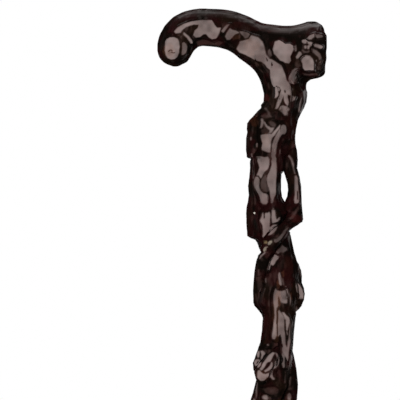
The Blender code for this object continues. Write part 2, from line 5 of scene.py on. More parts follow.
import bmesh
import bpy
import numpy as np
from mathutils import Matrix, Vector


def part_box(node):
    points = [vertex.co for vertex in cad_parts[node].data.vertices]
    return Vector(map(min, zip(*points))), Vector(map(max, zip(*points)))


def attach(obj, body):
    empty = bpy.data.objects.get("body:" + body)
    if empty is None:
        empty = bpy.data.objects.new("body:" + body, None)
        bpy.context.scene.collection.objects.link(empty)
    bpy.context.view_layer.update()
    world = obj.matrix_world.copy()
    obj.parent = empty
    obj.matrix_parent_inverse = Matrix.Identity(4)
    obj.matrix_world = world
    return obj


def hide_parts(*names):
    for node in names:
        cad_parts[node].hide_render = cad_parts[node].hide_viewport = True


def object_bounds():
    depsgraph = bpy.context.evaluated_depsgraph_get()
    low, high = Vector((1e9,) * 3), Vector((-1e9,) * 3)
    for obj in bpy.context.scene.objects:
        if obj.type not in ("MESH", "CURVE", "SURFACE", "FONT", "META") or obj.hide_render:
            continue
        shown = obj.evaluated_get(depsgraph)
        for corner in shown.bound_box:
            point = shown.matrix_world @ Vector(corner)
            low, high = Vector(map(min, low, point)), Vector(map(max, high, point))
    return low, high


# The photo's scale, and the cane's axis and top in its pixels
PIXEL = 0.0009
MM = 0.001
AXIS_PX = 276.0
TOP_PX = 8.4
CANE_TOP = 0.900
PHOTO_SIDE = 400

# The camera, level with the middle of the photo
FRAME_CENTRE_X = -0.0684
FRAME_CENTRE_Z = 0.7276
CAMERA_DISTANCE = 6
LENS = 600
SENSOR_WIDTH = 36
CAMERA_CLIP = 50

# Where the grip is glued to the stem, and how far the skins run past that face before they are cut
JOINT_Z = 0.8140
JOINT_X = 0.0079
JOINT_GAP = 0.00005
HANDLE_END = JOINT_Z + 0.00005
STEM_END = JOINT_Z - 0.00035
JOINT_STRETCH = 0.008
# Rounds of smoothing that take small folds out of the cut's outline, so that its face closes
RIM_ROUNDS = 4
RIM_SHARE = 0.5
BORE_MARGIN = 0.002

# How far below and above the joint the two skins are blended: first, then once carved, narrow and wide
JOINT_BAND = (0.030, 0.005)
LAST_BAND = (0.004, 0.003)
LAST_WIDE_BAND = (0.022, 0.012)
BROAD_SIDES = (0.25, 0.60)
# The neck's outline is measured in sectors round its axis, outside the bore, in a slice of this half height
NECK_SECTORS = 180
BORE_RADIUS = 0.0075
SLICE = 0.0015
PROFILE_MEAN = 5
PROFILE_WRAP = 6
LEAST_RADIUS = 1e-6

# Skins: name, voxel size, smoothing rounds, size of the wild lumps along x, y and z, and finish of each node
SKINS = {
    "handle": ("handle_skin", 0.00062, 100, (0.011, 0.009, 0.010), "dark_lacquered_root"),
    "main_stem": ("stem_skin", 0.00083, 80, (0.009, 0.009, 0.026), "dark_lacquered_root"),
    "right_vine": ("right_vine_skin", 0.00080, 40, (0.008, 0.008, 0.020), "red_brown_lacquered_vine"),
    "left_vine": ("left_vine_skin", 0.00080, 40, (0.008, 0.008, 0.020), "red_brown_lacquered_vine"),
    "lower_vine": ("lower_vine_skin", 0.00080, 40, (0.008, 0.008, 0.020), "red_brown_lacquered_vine"),
}
# Below this height the stem's mesh is made at this share of its length, and so coarser along the grain
COARSE_BELOW = 0.530
COARSE_SHARE = 0.22
SMOOTH_IN = 0.55
SMOOTH_OUT = -0.57
LAST_ROUNDS = 2
BOX_MARGIN = 1e-5
# Each skin's random numbers start at this many for each skin before it, plus the first
SALTS_PER_SKIN = 100
FIRST_SALT = 7

# Whole numbers that mix a cell's place into a steady random number
CELL_FACTORS = (374761393, 668265263, 1442695041)
MIX_FACTOR = 1274126177
LOW_BITS = 0xFFFFFFFF

# Flat-topped lumps on the front: shine, and an outline in photo pixels
PLATES = (
    # knob
    (1.0, ((165.3, 46), (165.6, 42), (167, 39.5), (170, 38), (174, 37.8), (177.3, 39.3), (178.8, 42),
        (179.3, 47), (178.8, 52.5), (177.3, 56.8), (174.5, 58.9), (171, 59.3), (168, 58), (166, 55),
        (165.2, 51))),
    (0.6, ((182.3, 43.5), (184, 42.8), (186, 44.5), (187, 47), (187, 50), (185.6, 53), (183.5, 54.8),
        (182, 55), (182, 52), (182.6, 48))),
    # arc over the knob and the first patch of the grip
    (0.88, ((174.5, 32), (178, 28), (184, 24.5), (192, 22), (200, 20.5), (212, 20.5), (214.5, 25.5),
        (217, 28.5), (220.5, 28.5), (219, 33.5), (216, 39), (212.5, 39.5), (209, 37.5), (206, 34),
        (203, 34.5), (200, 37), (196, 37.5), (193.5, 35.5), (195, 31), (198, 28.5), (199, 25), (194, 24.5),
        (186, 27), (182, 30.5), (180.5, 33), (176, 33.5))),
    (0.9, ((184, 33), (188, 36), (192, 41), (192.5, 43.5), (191, 43.5), (187.5, 38.5), (183.5, 34.5))),
    (0.9, ((221.5, 31.5), (224.5, 27.5), (227, 25.3), (229.3, 25), (226.5, 29.5), (224, 33.3))),
    (0.82, ((225.3, 36.8), (227, 33), (229.8, 28.8), (232, 30.3), (236, 31.3), (238.8, 33), (235, 34.5),
        (232.5, 37), (230, 39.8), (227, 40))),
    (0.6, ((239.5, 32), (243, 32), (247, 33), (249.3, 34.5), (248, 37.8), (245, 38.5), (243.3, 36.5),
        (241.8, 35))),
    (0.22, ((197, 42), (203, 39.5), (212, 42.5), (218, 41), (222, 43), (219, 46), (205, 45), (198, 46))),
    # the long patch down into the neck
    (0.95, ((237, 49), (240, 42), (246, 40.5), (249, 39.5), (251, 36), (258, 38), (262, 42), (264, 47),
        (265.5, 54), (269, 58.5), (275, 62), (281, 66), (284, 73), (286, 80), (289.5, 85), (292.5, 89.5),
        (292.2, 93), (291.2, 95.5), (287.3, 94.6), (285.5, 96), (284, 94), (282.6, 97), (281, 101),
        (279.2, 105), (277.9, 108.9), (276, 108.6), (276.4, 105), (277.7, 101), (279.2, 97), (280.4, 93.3),
        (281.2, 90.3), (280, 88.6), (279.2, 90.8), (277.4, 91.6), (278.2, 94), (277.5, 96), (275.5, 97.7),
        (272.8, 97.8), (272.2, 95), (273, 90), (272, 84), (270.5, 78), (270, 70), (267, 67.5), (265, 64.5),
        (262, 62), (257, 60.5), (252, 57.5), (246, 54), (240, 51.5))),
    # behind the cleft
    (0.45, ((267.8, 51.5), (269.3, 49.4), (271.2, 52), (271.5, 56), (269.8, 57.3), (268.2, 55))),
    (1.0, ((275, 42), (279, 40.5), (282, 42), (285, 44.5), (290, 44), (293, 46), (293.3, 50), (291.3, 54),
        (289.8, 57), (290.5, 61), (288.5, 63.5), (285, 63), (283, 61.5), (280, 60.5), (277, 57), (274, 54),
        (273, 50))),
    (0.7, ((294.3, 46.5), (295.4, 45.6), (296, 48), (295.8, 51), (294.8, 51.6), (294.2, 50))),
    (0.75, ((299.2, 52.3), (300.5, 53), (301.3, 55), (299.5, 56.5), (298, 58.3), (296.3, 59), (295.8, 57.3),
        (297.3, 55), (298.3, 53))),
    (0.85, ((288.8, 83), (288.4, 79), (289.8, 75.5), (292, 71), (294.8, 69), (299, 69), (296.6, 72),
        (295.8, 75.5), (297, 79), (298, 82.4), (294, 84))),
    # burl
    (0.7, ((316.8, 30.5), (317, 29), (318.3, 28), (319.3, 26.9), (319.6, 28.3), (318.9, 30), (318, 31.2))),
    (0.9, ((307.2, 38.4), (309.5, 36), (313, 34.2), (315.1, 33.6), (315.2, 35.5), (314, 37.2), (312, 38.4),
        (310.8, 39.7), (308.8, 39.8))),
    (0.8, ((315.8, 37), (316, 35), (318.5, 34.3), (321.8, 35), (322.1, 36.8), (320.5, 37.8), (317, 38.2))),
    (0.95, ((301.8, 41.3), (303, 40.2), (304.7, 40.3), (305.6, 38.9), (306.6, 38.9), (307.5, 41),
        (309.8, 41.8), (312.3, 43.4), (312.8, 45), (311.3, 46.2), (309.2, 45), (307, 43.4), (304, 43.8),
        (302.3, 42.8))),
    (0.9, ((304.2, 46.2), (305.8, 46.2), (306, 48.3), (304.8, 48.8), (303.9, 47.6))),
    (0.9, ((307.1, 46.5), (308.5, 45.7), (309.8, 46), (310, 48), (308.8, 49.3), (307.4, 49))),
    (0.95, ((313.8, 45.2), (315, 44.6), (318, 45.2), (320, 45.6), (322, 46.6), (321.7, 48.2), (320.3, 49),
        (317.5, 47.9), (314.5, 46.9))),
    (0.5, ((311.5, 49), (316, 51), (319.5, 54), (321, 58), (321.5, 61), (320.6, 64), (319.2, 61),
        (318.2, 57.5), (315, 54.6), (312, 51.6))),
    (0.95, ((301.2, 61), (301, 59), (302.8, 57), (306, 56), (309.4, 56.6), (312.2, 59.2), (313.3, 62),
        (313.3, 71), (309, 71.6), (305, 71.2), (303, 68.5), (302.4, 64))),
    (0.3, ((319.2, 66), (321, 62), (323.3, 60), (323, 66), (321.5, 71), (319.5, 69.5))),
    (0.25, ((303, 73.3), (309, 73), (316, 74), (318, 75.5), (308, 75.8), (303.5, 75.2))),
    # root ends below the neck
    (1.0, ((284, 94), (285.6, 95.8), (287.2, 94.8), (287.2, 97.5), (287.9, 100.5), (288.7, 103),
        (287.8, 105.7), (286, 104.3), (284.2, 101), (283.7, 97))),
    (0.9, ((290.6, 94.6), (292.6, 96), (294.6, 97.6), (296.2, 96.8), (297.8, 97.6), (297.8, 99.6),
        (296, 100.4), (294.4, 100.2), (293, 101.6), (291, 101.6), (290.5, 99), (290.8, 97))),
    (0.8, ((299.7, 94.5), (301.3, 94), (302.5, 98), (303, 103), (302.4, 108), (302.8, 112.8), (301, 112.5),
        (300.6, 108), (300.9, 102), (300.3, 98))),
    (0.5, ((303.2, 92), (305, 90), (307.3, 94), (306.9, 101), (305.3, 107), (303, 112.6), (303.3, 107),
        (303.7, 102), (303.3, 97))),
    (0.22, ((289.2, 104), (292, 102.3), (297, 102.8), (300, 105), (299, 107.5), (294, 108.3),
        (290.4, 107.6))),
    (0.7, ((280.6, 107), (283, 105.8), (287, 107), (289.6, 109), (289.3, 110.3), (287.9, 111.5),
        (287.6, 115), (285, 115.3), (283.5, 113), (281.5, 111), (279.8, 109.8))),
    (0.3, ((264, 116), (267, 114.6), (272, 115.3), (273.3, 117.3), (268, 118), (264.5, 117.6))),
    # shoulder
    (0.85, ((263.5, 119), (264.8, 119.3), (264.7, 123), (263.2, 126), (261.8, 128), (260.6, 127.8),
        (261.5, 125.5), (263, 122))),
    (0.85, ((265.2, 121.5), (266.5, 123), (268, 126), (270.5, 127.8), (273.5, 128.3), (272.5, 130.5),
        (271, 132.8), (269, 132.8), (270, 130.5), (268, 128.5), (265.8, 126.2), (264.9, 123.5))),
    (0.3, ((269.5, 122.5), (271.5, 121), (274, 122.5), (276, 124.5), (275, 127), (272, 127),
        (270.5, 125.5))),
    (0.25, ((261.5, 130.5), (264, 129), (267, 130), (268.6, 131.6), (266.6, 133), (262.5, 133))),
    (1.0, ((261, 135.5), (265, 134.5), (269.5, 134), (271.5, 134.5), (274, 131.5), (276.8, 128.8),
        (279.8, 125), (280.2, 126), (278, 129.5), (275.5, 132.5), (274, 135.5), (271.8, 138), (270.8, 142),
        (270.3, 147), (270.2, 152), (268, 152.2), (265, 151), (262.3, 149.8), (262, 147.5), (262.8, 144.5),
        (263.2, 143.5), (262.2, 141), (261.2, 138))),
    (0.72, ((281.3, 125.8), (283, 124.8), (285, 125.5), (286, 128.5), (285.6, 132), (284, 133.9),
        (281.5, 134.6), (279.5, 137.5), (277.5, 142), (276.3, 147), (275.7, 152), (275.6, 158),
        (275.5, 163), (276, 168), (276, 175), (275.3, 180), (275, 190), (274.6, 194.5), (273.2, 198),
        (272.3, 203), (270.8, 203), (270.3, 198), (269.7, 192), (268.6, 187), (267.2, 183), (266.9, 178),
        (268.2, 174.5), (270, 170.5), (271.2, 166), (271.5, 160), (271.8, 152), (272.3, 146), (273, 141.5),
        (275.2, 137), (276.5, 134.2), (278.5, 130.5), (280.5, 127))),
    (0.86, ((256.8, 157), (261, 156.8), (264.5, 157.5), (268, 157), (268.8, 160), (268.7, 165),
        (267.5, 169), (264.5, 171.5), (262.5, 174.5), (261.3, 177.5), (259.8, 178), (259.5, 176.5),
        (258.2, 175.8), (256.8, 175.3), (258.5, 172), (259.8, 168), (258.8, 164), (257.5, 160))),
    (0.72, ((256, 176.8), (258, 176.8), (259.2, 178.8), (259.3, 182), (258.8, 185), (259.2, 188),
        (261, 191.5), (263, 193.3), (266, 194), (267.6, 195.5), (268, 198), (267.6, 202), (266, 204),
        (263, 203.8), (261, 202), (259.8, 197.5), (258, 193.5), (255.8, 189.5), (254.3, 186), (254.2, 182),
        (254.8, 178.5))),
    (0.3, ((262, 178.5), (264.5, 175.5), (266.3, 175), (266.3, 178), (266, 183), (268, 186.5), (268.8, 191),
        (266.5, 192), (263.5, 191.4), (261, 188.5), (260.5, 184), (261, 181))),
    (0.25, ((283.5, 147), (290, 142), (294.5, 140.5), (294.8, 146), (291, 148), (285, 149))),
    (0.85, ((294.6, 176), (295.8, 175.5), (297, 178), (297.2, 184), (297.8, 189), (298.6, 194),
        (298.6, 200), (298.3, 203), (294.6, 203), (294.2, 200), (295, 195), (294.8, 188), (294.6, 182))),
    # lobe above the crossing vine
    (0.85, ((262.6, 213), (263.6, 214.5), (264, 217.5), (264.4, 214), (265.8, 212.9), (267.5, 213.2),
        (269, 212), (269.6, 215), (269.6, 222), (269, 226.5), (270.5, 227.5), (272.5, 225.2),
        (274.5, 224.4), (276.6, 224.8), (276.9, 227), (275.5, 230), (273.5, 232.3), (270.5, 234.2),
        (268.3, 234.8), (267.5, 233.8), (266, 234.2), (264.8, 236), (263, 237), (263, 231), (262.8, 226),
        (261.3, 222.5), (260.2, 220.5), (261.6, 216.5))),
    (0.9, ((271.8, 210), (274.6, 210), (274.8, 214), (275.5, 217.5), (276.5, 220.2), (278.5, 218),
        (279.6, 217.2), (279.3, 219), (276.8, 221.8), (274.8, 223), (272.2, 223.2), (271.7, 218))),
    # crossing vine
    (0.3, ((300.8, 206), (299, 208.5), (297, 211), (295, 215), (292, 218.5), (289, 220.3), (286.5, 221),
        (287.5, 219), (291, 216.5), (293.5, 212.5), (296, 209), (298.5, 205.5))),
    (0.5, ((288.3, 227.4), (287, 229.6), (284.8, 232.2), (282.4, 235.6), (280, 238.8), (277.6, 241.2),
        (275, 242.2), (273.8, 241.2), (273.8, 239.4), (276.2, 238.4), (279.2, 236), (282, 232.5),
        (284.5, 229.5), (286.7, 227.7))),
    # below the crossing vine
    (0.5, ((280, 247.5), (282, 245), (283.5, 246.5), (286, 247.5), (286.5, 250), (283, 252), (279.5, 252),
        (277.5, 253.8), (275, 253.2), (276.8, 250.5))),
    (0.95, ((274.6, 254.3), (276.2, 254.6), (278.2, 256.8), (277.6, 258.5), (276, 260), (275, 261.8),
        (273.8, 263.8), (272.6, 265), (271.2, 264.2), (270.4, 264.4), (269.8, 267), (268.9, 270.6),
        (268, 271.2), (267.9, 268.5), (269, 264.2), (270, 260.8), (271.4, 258.2), (273, 256))),
    (0.95, ((278.9, 272.5), (279.6, 272.3), (280.6, 276), (281, 280), (281.4, 284), (280.6, 285),
        (279.3, 283.5), (278.8, 279), (278.5, 275))),
    (0.95, ((274.8, 290), (275.6, 288.4), (276.4, 289.8), (279, 291), (282, 291), (285, 290.2),
        (285.8, 292), (287, 295.5), (287.2, 299), (287, 302), (286, 303), (283.5, 302.8), (281, 302),
        (280, 300), (279.2, 297), (278.4, 295.8), (277.8, 297.5), (277.8, 301), (277.8, 305.5),
        (276.4, 308), (276.3, 313), (276.1, 322), (276.5, 330), (276.4, 335), (274.5, 338.8),
        (273.2, 338.8), (272.3, 337), (273, 331), (274, 323), (274.7, 315), (274.5, 308), (273.6, 300),
        (273.9, 294))),
    (0.72, ((278.3, 311), (279, 309.8), (280, 311.5), (281.5, 313.5), (282.8, 315.5), (284, 318.5),
        (284.2, 322), (284, 330), (285.3, 334), (285.2, 344), (286, 347), (288.6, 346), (288.2, 352),
        (287.8, 357), (287, 362), (286.3, 367), (283, 367.5), (282.2, 364), (281.4, 358), (282.2, 352),
        (282, 346), (281.6, 341), (281.4, 337), (280.6, 334), (279.4, 334), (278, 336), (277.6, 330),
        (278, 322), (278.2, 315))),
    (1.0, ((282.2, 312.2), (283.8, 312.3), (286, 315.3), (288.3, 317.3), (289, 319.5), (288.9, 322.5),
        (288, 325), (287.4, 328), (286.8, 330), (285.6, 329.5), (285.8, 324), (285.3, 320.5), (284.8, 318),
        (283.4, 315))),
    (0.7, ((290.5, 322), (291.8, 321.8), (291.5, 325), (290.5, 330), (290, 336), (289.6, 341), (288.8, 346),
        (287, 346.5), (287.3, 342), (288.3, 337), (288.8, 331), (289.5, 326))),
    (0.8, ((296.2, 281.5), (297.6, 283.2), (300, 286), (301.8, 290), (302.8, 293.5), (302.8, 298.3),
        (298.2, 298.5), (297.6, 295), (296.2, 290), (295.6, 286))),
    (0.4, ((297.5, 262), (299.5, 264), (301, 268), (301.5, 274), (301.8, 280), (300.8, 281), (300, 276),
        (298.6, 270))),
    (0.4, ((294.8, 306), (296.5, 306.5), (298.3, 309.8), (296.8, 312), (295, 312.5))),
    (0.2, ((257.5, 280), (261, 279), (263, 284), (261.5, 291), (258.5, 290))),
    # knot at the photo's lower end
    (0.9, ((258.2, 352), (259.3, 350.8), (260, 352), (259.8, 354.5), (259.2, 357), (258.2, 356.8),
        (258, 354))),
    (0.8, ((261.3, 351), (263, 350.8), (264.8, 352), (265.6, 353.5), (264, 355), (263.2, 357), (262.4, 359),
        (261.2, 359.5), (261.6, 357), (262.4, 354.5), (262, 352.5))),
    (0.95, ((255, 361), (256.5, 359.3), (258.5, 359), (260.3, 360.2), (261, 361), (260.8, 363.5),
        (260.2, 365.5), (258.8, 366.8), (257, 366.5), (255.8, 365), (255, 363))),
    (1.0, ((260.8, 368.3), (262.2, 366), (263.6, 362.3), (265.8, 359), (268, 356.3), (270, 354),
        (272.8, 352), (274.4, 352.6), (272.6, 355.5), (271.2, 358.6), (269.8, 360.8), (267.5, 361.3),
        (266, 363), (264.8, 366), (263, 368.8), (261.5, 369.5))),
    (0.95, ((271.4, 361.5), (272.3, 363), (272.2, 365.5), (271, 368), (268.5, 370), (265.5, 371.2),
        (264.8, 370.2), (267.3, 368.3), (269.3, 366.3), (270.6, 364))),
    (0.75, ((275.5, 352.3), (277, 353.3), (278.4, 356.5), (278.9, 360), (278.3, 363.3), (276.8, 365.8),
        (274.8, 367.5), (273.2, 368.6), (273, 366.5), (274.4, 364.5), (275.2, 361), (277, 360.3),
        (277.2, 357), (276.4, 354.5))),
    (0.75, ((258, 372.5), (258.8, 370.5), (260, 369.8), (261, 371.5), (263, 373.3), (266, 373.8),
        (269, 372.8), (271, 370.8), (272.6, 369.5), (272.3, 371), (272, 374), (272.8, 376.5),
        (274.3, 378.3), (273.8, 379.6), (272, 378.5), (270.5, 376.5), (269.5, 377), (267, 376.5),
        (265.5, 378.5), (263.5, 379.8), (260.5, 380), (258.8, 378.5), (257.4, 376.3))),
    (0.22, ((264, 389), (268, 387.5), (274, 387), (278, 389), (277, 393), (272, 394), (266, 392.5))),
    (0.6, ((262.3, 396), (264, 394.8), (266.5, 395), (268, 396.6), (270.3, 397.2), (271, 398.5),
        (271.3, 402), (262, 402))),
    (0.55, ((286.5, 397), (287.2, 394), (288.8, 392.3), (290.3, 393.5), (291, 396.5), (291.2, 402),
        (286.2, 402))),
)
# Broad faces that carry several lumps, as outlines in photo pixels
FACES = (
    ((163, 46), (165, 38), (171, 35), (178, 37), (184, 40), (189, 46), (188, 53), (183, 58), (174, 61),
        (166, 58)),
    ((173, 34), (178, 26.5), (190, 21), (200, 19.5), (213, 19.5), (224, 25), (231, 24), (233, 29),
        (240, 31), (250, 34), (247, 39.5), (238, 36), (229, 41), (222, 38), (214, 41), (204, 36.5),
        (196, 39), (190, 33), (180, 34.5)),
    ((236, 50), (239, 41), (250, 38), (251, 35), (259, 37), (263, 42), (266, 54), (270, 58), (282, 65),
        (288, 80), (294, 89), (294.5, 99), (293, 102), (290, 106), (284, 107), (275, 110), (270, 99),
        (268.5, 84), (265, 72), (259, 65), (246, 57)),
    ((260, 118), (266, 118), (272, 126), (279, 123), (285, 123), (287.5, 128), (286, 135), (279, 143),
        (277, 152), (277.5, 176), (276.5, 192), (273, 204.5), (262, 205), (255, 190), (253.5, 180),
        (256, 172), (256, 156), (261, 150), (260, 134)),
    ((260, 221), (262, 212), (265, 208.5), (272, 204), (275, 206), (276.5, 216), (280, 216.5), (280, 221),
        (277.5, 225), (276, 231), (270, 235.5), (263, 238), (262, 228)),
    ((272, 296), (274, 289), (278, 288), (286, 289), (288, 297), (287.5, 303), (284, 305), (280, 308),
        (284, 311), (289, 316), (292.5, 321), (291, 333), (289.5, 347), (288, 360), (286, 368),
        (281.5, 367), (281, 350), (280, 337), (276, 340), (271.5, 338), (274, 320)),
    ((254, 362), (257, 350), (265, 350.5), (272, 350.5), (278, 352), (280, 360), (277, 367), (274, 371),
        (275, 379), (266, 380), (257, 380), (256, 372), (260, 367.5)),
)
# Narrow crests: shine, half width, then points
STRIPS = (
    (0.6, 0.5, ((260.8, 111.5), (258.7, 115.8))),
    (0.35, 0.6, ((266, 108.5), (268.5, 112), (271, 115))),
    (0.5, 0.6, ((252.3, 154), (253, 160), (253.4, 166), (253.7, 173), (253.4, 178))),
    (0.25, 0.5, ((253.3, 181), (254, 190), (255, 198), (255.3, 204))),
    (0.4, 0.6, ((279.6, 150), (280.2, 156), (280.8, 162), (281.2, 168), (281.5, 172))),
    (0.65, 0.7, ((288.8, 156), (290.3, 158), (291.5, 160.5), (292.5, 164), (293.5, 168), (294.6, 173))),
    (0.6, 0.6, ((251.3, 137.5), (251.4, 139.5))),
    (0.65, 0.6, ((257.4, 144), (257.2, 146.5))),
    (0.5, 0.8, ((272.8, 204.5), (273, 209))),
    (0.7, 0.7, ((259.3, 257.8), (262, 255), (264.5, 252.6))),
    (0.5, 0.5, ((282.4, 278.5), (283.4, 284))),
    (0.8, 0.6, ((285.5, 286.8), (287, 290), (289, 295.5), (290.2, 300), (290.7, 304.5))),
    (0.35, 0.6, ((258.7, 270), (258.9, 275))),
    (0.5, 0.5, ((266, 278.3), (265.7, 282))),
    (0.75, 0.6, ((264.3, 288.5), (262.8, 293), (261.8, 297), (261.2, 301.5))),
    (0.8, 0.5, ((316.1, 61), (315.3, 63.5), (314.9, 66.5), (315.4, 69.5), (316.2, 72))),
    (0.45, 0.5, ((319.2, 62.5), (318.1, 64.5), (317.8, 67.5), (318.5, 70))),
    (0.35, 0.7, ((302.3, 50.8), (304, 52.3), (307, 52.6), (309.5, 51))),
    (0.6, 0.4, ((286.3, 331.5), (286.9, 334))),
    (0.7, 0.7, ((291.9, 355), (291, 358.5), (289.6, 362.5), (288.3, 366.5))),
    (0.45, 0.7, ((288.3, 366.5), (286.9, 371), (285.9, 376), (285, 382))),
    (0.35, 0.7, ((290.3, 377), (289.5, 381), (289, 385))),
    (0.45, 0.6, ((256.9, 383), (256.4, 389), (256.6, 400))),
    (0.55, 0.6, ((267.8, 344.4), (268.3, 344.6))),
)
# Fine grooves cut into the lumps: half width, depth, points
GROOVES = (
    (0.5, 0.5, ((168.6, 51.6), (170, 50.4), (171.3, 50.3), (172.2, 51.3))),
    (0.45, 0.3, ((171.3, 52.4), (173.3, 53.2), (174.8, 52.9))),
    (0.9, 0.9, ((221.8, 36), (225.6, 31.8), (230, 26.2))),
    (0.6, 0.5, ((256.3, 176), (258.3, 176.1), (259.6, 178.3))),
    (0.7, 0.7, ((271.8, 223.8), (277, 223.4))),
    (0.6, 0.6, ((263.9, 213.5), (264.1, 218))),
    (0.6, 0.5, ((297.3, 191.5), (297.3, 199))),
    (0.6, 0.5, ((277.3, 309), (277, 322), (277.2, 334))),
    (0.7, 0.5, ((284.7, 320), (284.8, 330), (285.4, 335), (285.8, 344))),
    (0.5, 0.5, ((257.3, 363.3), (258.6, 361.2))),
    (0.8, 0.3, ((284.6, 91), (285, 92.4))),
    (0.5, 0.5, ((306.6, 42.5), (306.9, 45.5))),
)
# The photo's outline: row, then column of the cane's left and right edge
LEFT_EDGE = (
    (96, 264.0), (102, 263.5), (108, 259.8), (114, 254.7), (120, 249.1), (123, 247.2), (129, 246.9),
    (132, 247.4), (138, 246.3), (150, 246.1), (157, 246.9), (159, 250.0), (168, 250.2), (177, 249.4),
    (186, 248.2), (195, 248.9), (201, 248.1), (207, 246.7), (213, 246.3), (225, 246.6), (236, 247.5),
    (238, 250.0), (240, 254.4), (243, 257.1), (252, 260.6), (255, 258.2), (261, 256.2), (270, 254.7),
    (279, 253.8), (291, 253.2), (303, 253.6), (306, 254.6), (315, 261.9), (318, 262.9), (330, 262.2),
    (342, 260.5), (354, 256.0), (363, 253.0), (369, 253.4), (380, 256.1), (387, 254.4), (393, 252.9),
    (399, 250.9),
)
RIGHT_EDGE = (
    (96, 307.1), (102, 306.3), (108, 304.1), (114, 300.9), (120, 298.1), (129, 296.0), (138, 295.0),
    (144, 295.3), (150, 296.8), (160, 297.6), (168, 297.1), (177, 299.5), (186, 301.0), (204, 301.6),
    (219, 302.9), (222, 302.0), (225, 298.2), (228, 293.2), (231, 289.6), (243, 292.2), (252, 294.1),
    (261, 297.0), (264, 298.8), (270, 301.1), (276, 301.9), (282, 301.7), (288, 303.9), (294, 304.7),
    (300, 303.9), (306, 301.5), (309, 299.6), (312, 296.4), (318, 295.5), (333, 293.9), (351, 292.7),
    (357, 294.2), (369, 296.4), (384, 297.8), (393, 297.3), (399, 296.7),
)
# The slot's two sides: row, then column of the stem's right edge and the vine's left edge
SLOT_STEM_EDGE = (
    (150, 286.0), (158, 287.0), (167, 286.0), (171, 284.0), (174, 281.6), (180, 281.0), (190, 281.0),
    (197, 282.0), (201, 284.5), (204, 288.0), (212, 292.0),
)
SLOT_VINE_EDGE = (
    (150, 283.0), (158, 283.0), (167, 282.5), (171, 283.5), (176, 285.2), (184, 287.6), (190, 288.1),
    (196, 287.2), (200, 285.5), (204, 284.0), (212, 282.0),
)
# Outlines are measured in rows of this many pixels, as the outermost of near rows, averaged over a few
EDGE_ROW = 0.5
EDGE_NEAR = 1
EDGE_MEAN = 3
# The skins stand this many pixels outside the table, which leaves out half-covered ones
EDGE_OUTWARD = 0.2
EDGE_FADE = 5
MOST_SHIFT = 4.0
# Fits: the nodes, the row that their outline is measured from, its left and right goal, first and last row
OUTLINE_FITS = (
    (("main_stem", "right_vine", "left_vine", "lower_vine"), 100, LEFT_EDGE, RIGHT_EDGE, 104, 400),
    (("handle",), 84, LEFT_EDGE, RIGHT_EDGE, 96, 110),
    (("main_stem",), 140, (), SLOT_STEM_EDGE, 158, 212),
    (("right_vine",), 140, SLOT_VINE_EDGE, (), 158, 208),
)
# Small moves of the grip's outline: column, row, reach, then how far right and down in photo pixels
NUDGES = (
    (241, 62, 20, -1.0, 1.4),
    (327, 42, 12, 1.6, 0.0),
    (325, 67, 11, -1.6, 0.0),
)

# How far a lump's outline shapes the pixels round it, and the distance that stands for none
STROKE_REACH = 14
FAR_FROM_LUMPS = 30.0

# Faces pressed flat: least number of points, least turn to the photo, and the slopes that face the panels
FLATTEN = 0.92
FEWEST_TO_FIT = 40
LEAST_FACING = 0.3
LEAST_TURN = 0.15
STEEPEST_ACROSS = (-0.50, 0.08)
STEEPEST_ALONG = (-0.55, 0.32)
TURNED_RIGHT = 0.35
ACROSS_RIGHT = (0.28, 0.46)
MOST_TWIST = 0.004
PLATE_RIM = (-2.5, -0.5)
PRESSED_FACING = (0.08, 0.38)
MOST_PRESS = 0.004

# How a node is carved: strength of drawn lumps, turns where they start, strength of wild lumps, rim in mm
VINE_CARVING = (0.5, (-0.3, 0.2), 0.35, -1.1)
CARVING = {
    "handle": (0.65, (-0.35, 0.05), 0.3, 0.3),
    "main_stem": (0.7, (-0.4, 0.05), 0.5, -1.1),
    "right_vine": VINE_CARVING,
    "left_vine": VINE_CARVING,
    "lower_vine": VINE_CARVING,
}
RAMP_CHANGE = 0.02
RIM_TURN = (0.05, 0.40)
# Rows over which drawn lumps give way to wild ones, and how far from the joint the wild ones start
PHOTO_FADE = (-2, 6)
WILD_CLEAR = (0.002, 0.012)
# Wild lumps: how far their borders wander, margin of a lump's middle in its cell, edge width in millimetres
WANDER = 0.003
WANDER_SIZE = 0.012
WANDER_SALT = 20
CELL_MARGIN = 0.1
FAR_CELLS = 9.0
OWNER_SALT = 3
WILD_EDGE = 1.0
WILD_EDGE_SPREAD = 1.2
# A lump's form in millimetres: ragged outline, rim, slope of its side, depth at its foot, crown, and waves
RAGGED = 0.15
LUMP_RIM = 0.6
SIDE_SLOPE = 0.855
SIDE_REACH = 3.2
CROWN = 0.15
CROWN_REACH = 1.5
UNDULATION = 0.35
UNDULATION_SHOWN = 0.2
TURNED_AWAY = (0.0, 0.4)

# Noises: size in metres and salt, or several with a share, a size and a salt each
RAGGED_NOISE = (0.0025, 41)
UNDULATION_NOISE = (0.010, 31)
SATIN_NOISE = (0.006, 53)
SOFT_NOISE = (0.007, 51)
SPOT_NOISE = (0.003, 73)
MARK_NOISE = (0.0012, 76)
EVEN_NOISES = ((0.22, 0.004, 52), (0.24, 0.013, 54))
HAZE_NOISES = ((1, 0.003, 55), (0.5, 0.0015, 56))
OXBLOOD_NOISES = ((1, 0.011, 71), (0.6, 0.004, 72))
UMBER_NOISES = ((1, 0.014, 74), (0.6, 0.005, 75))

# Shine of the lumps: its mean, the soft edge in millimetres, and the haze of the hollows with its streaks
EVEN_SHINE = 0.86
EDGE_SOFTNESS = 0.4
SOFT_CHANGE = 0.8
HAZE = 0.22
HAZE_RANGE = (0.0, 0.9)
STREAK_SHAPE = (1, 1, 0.35)
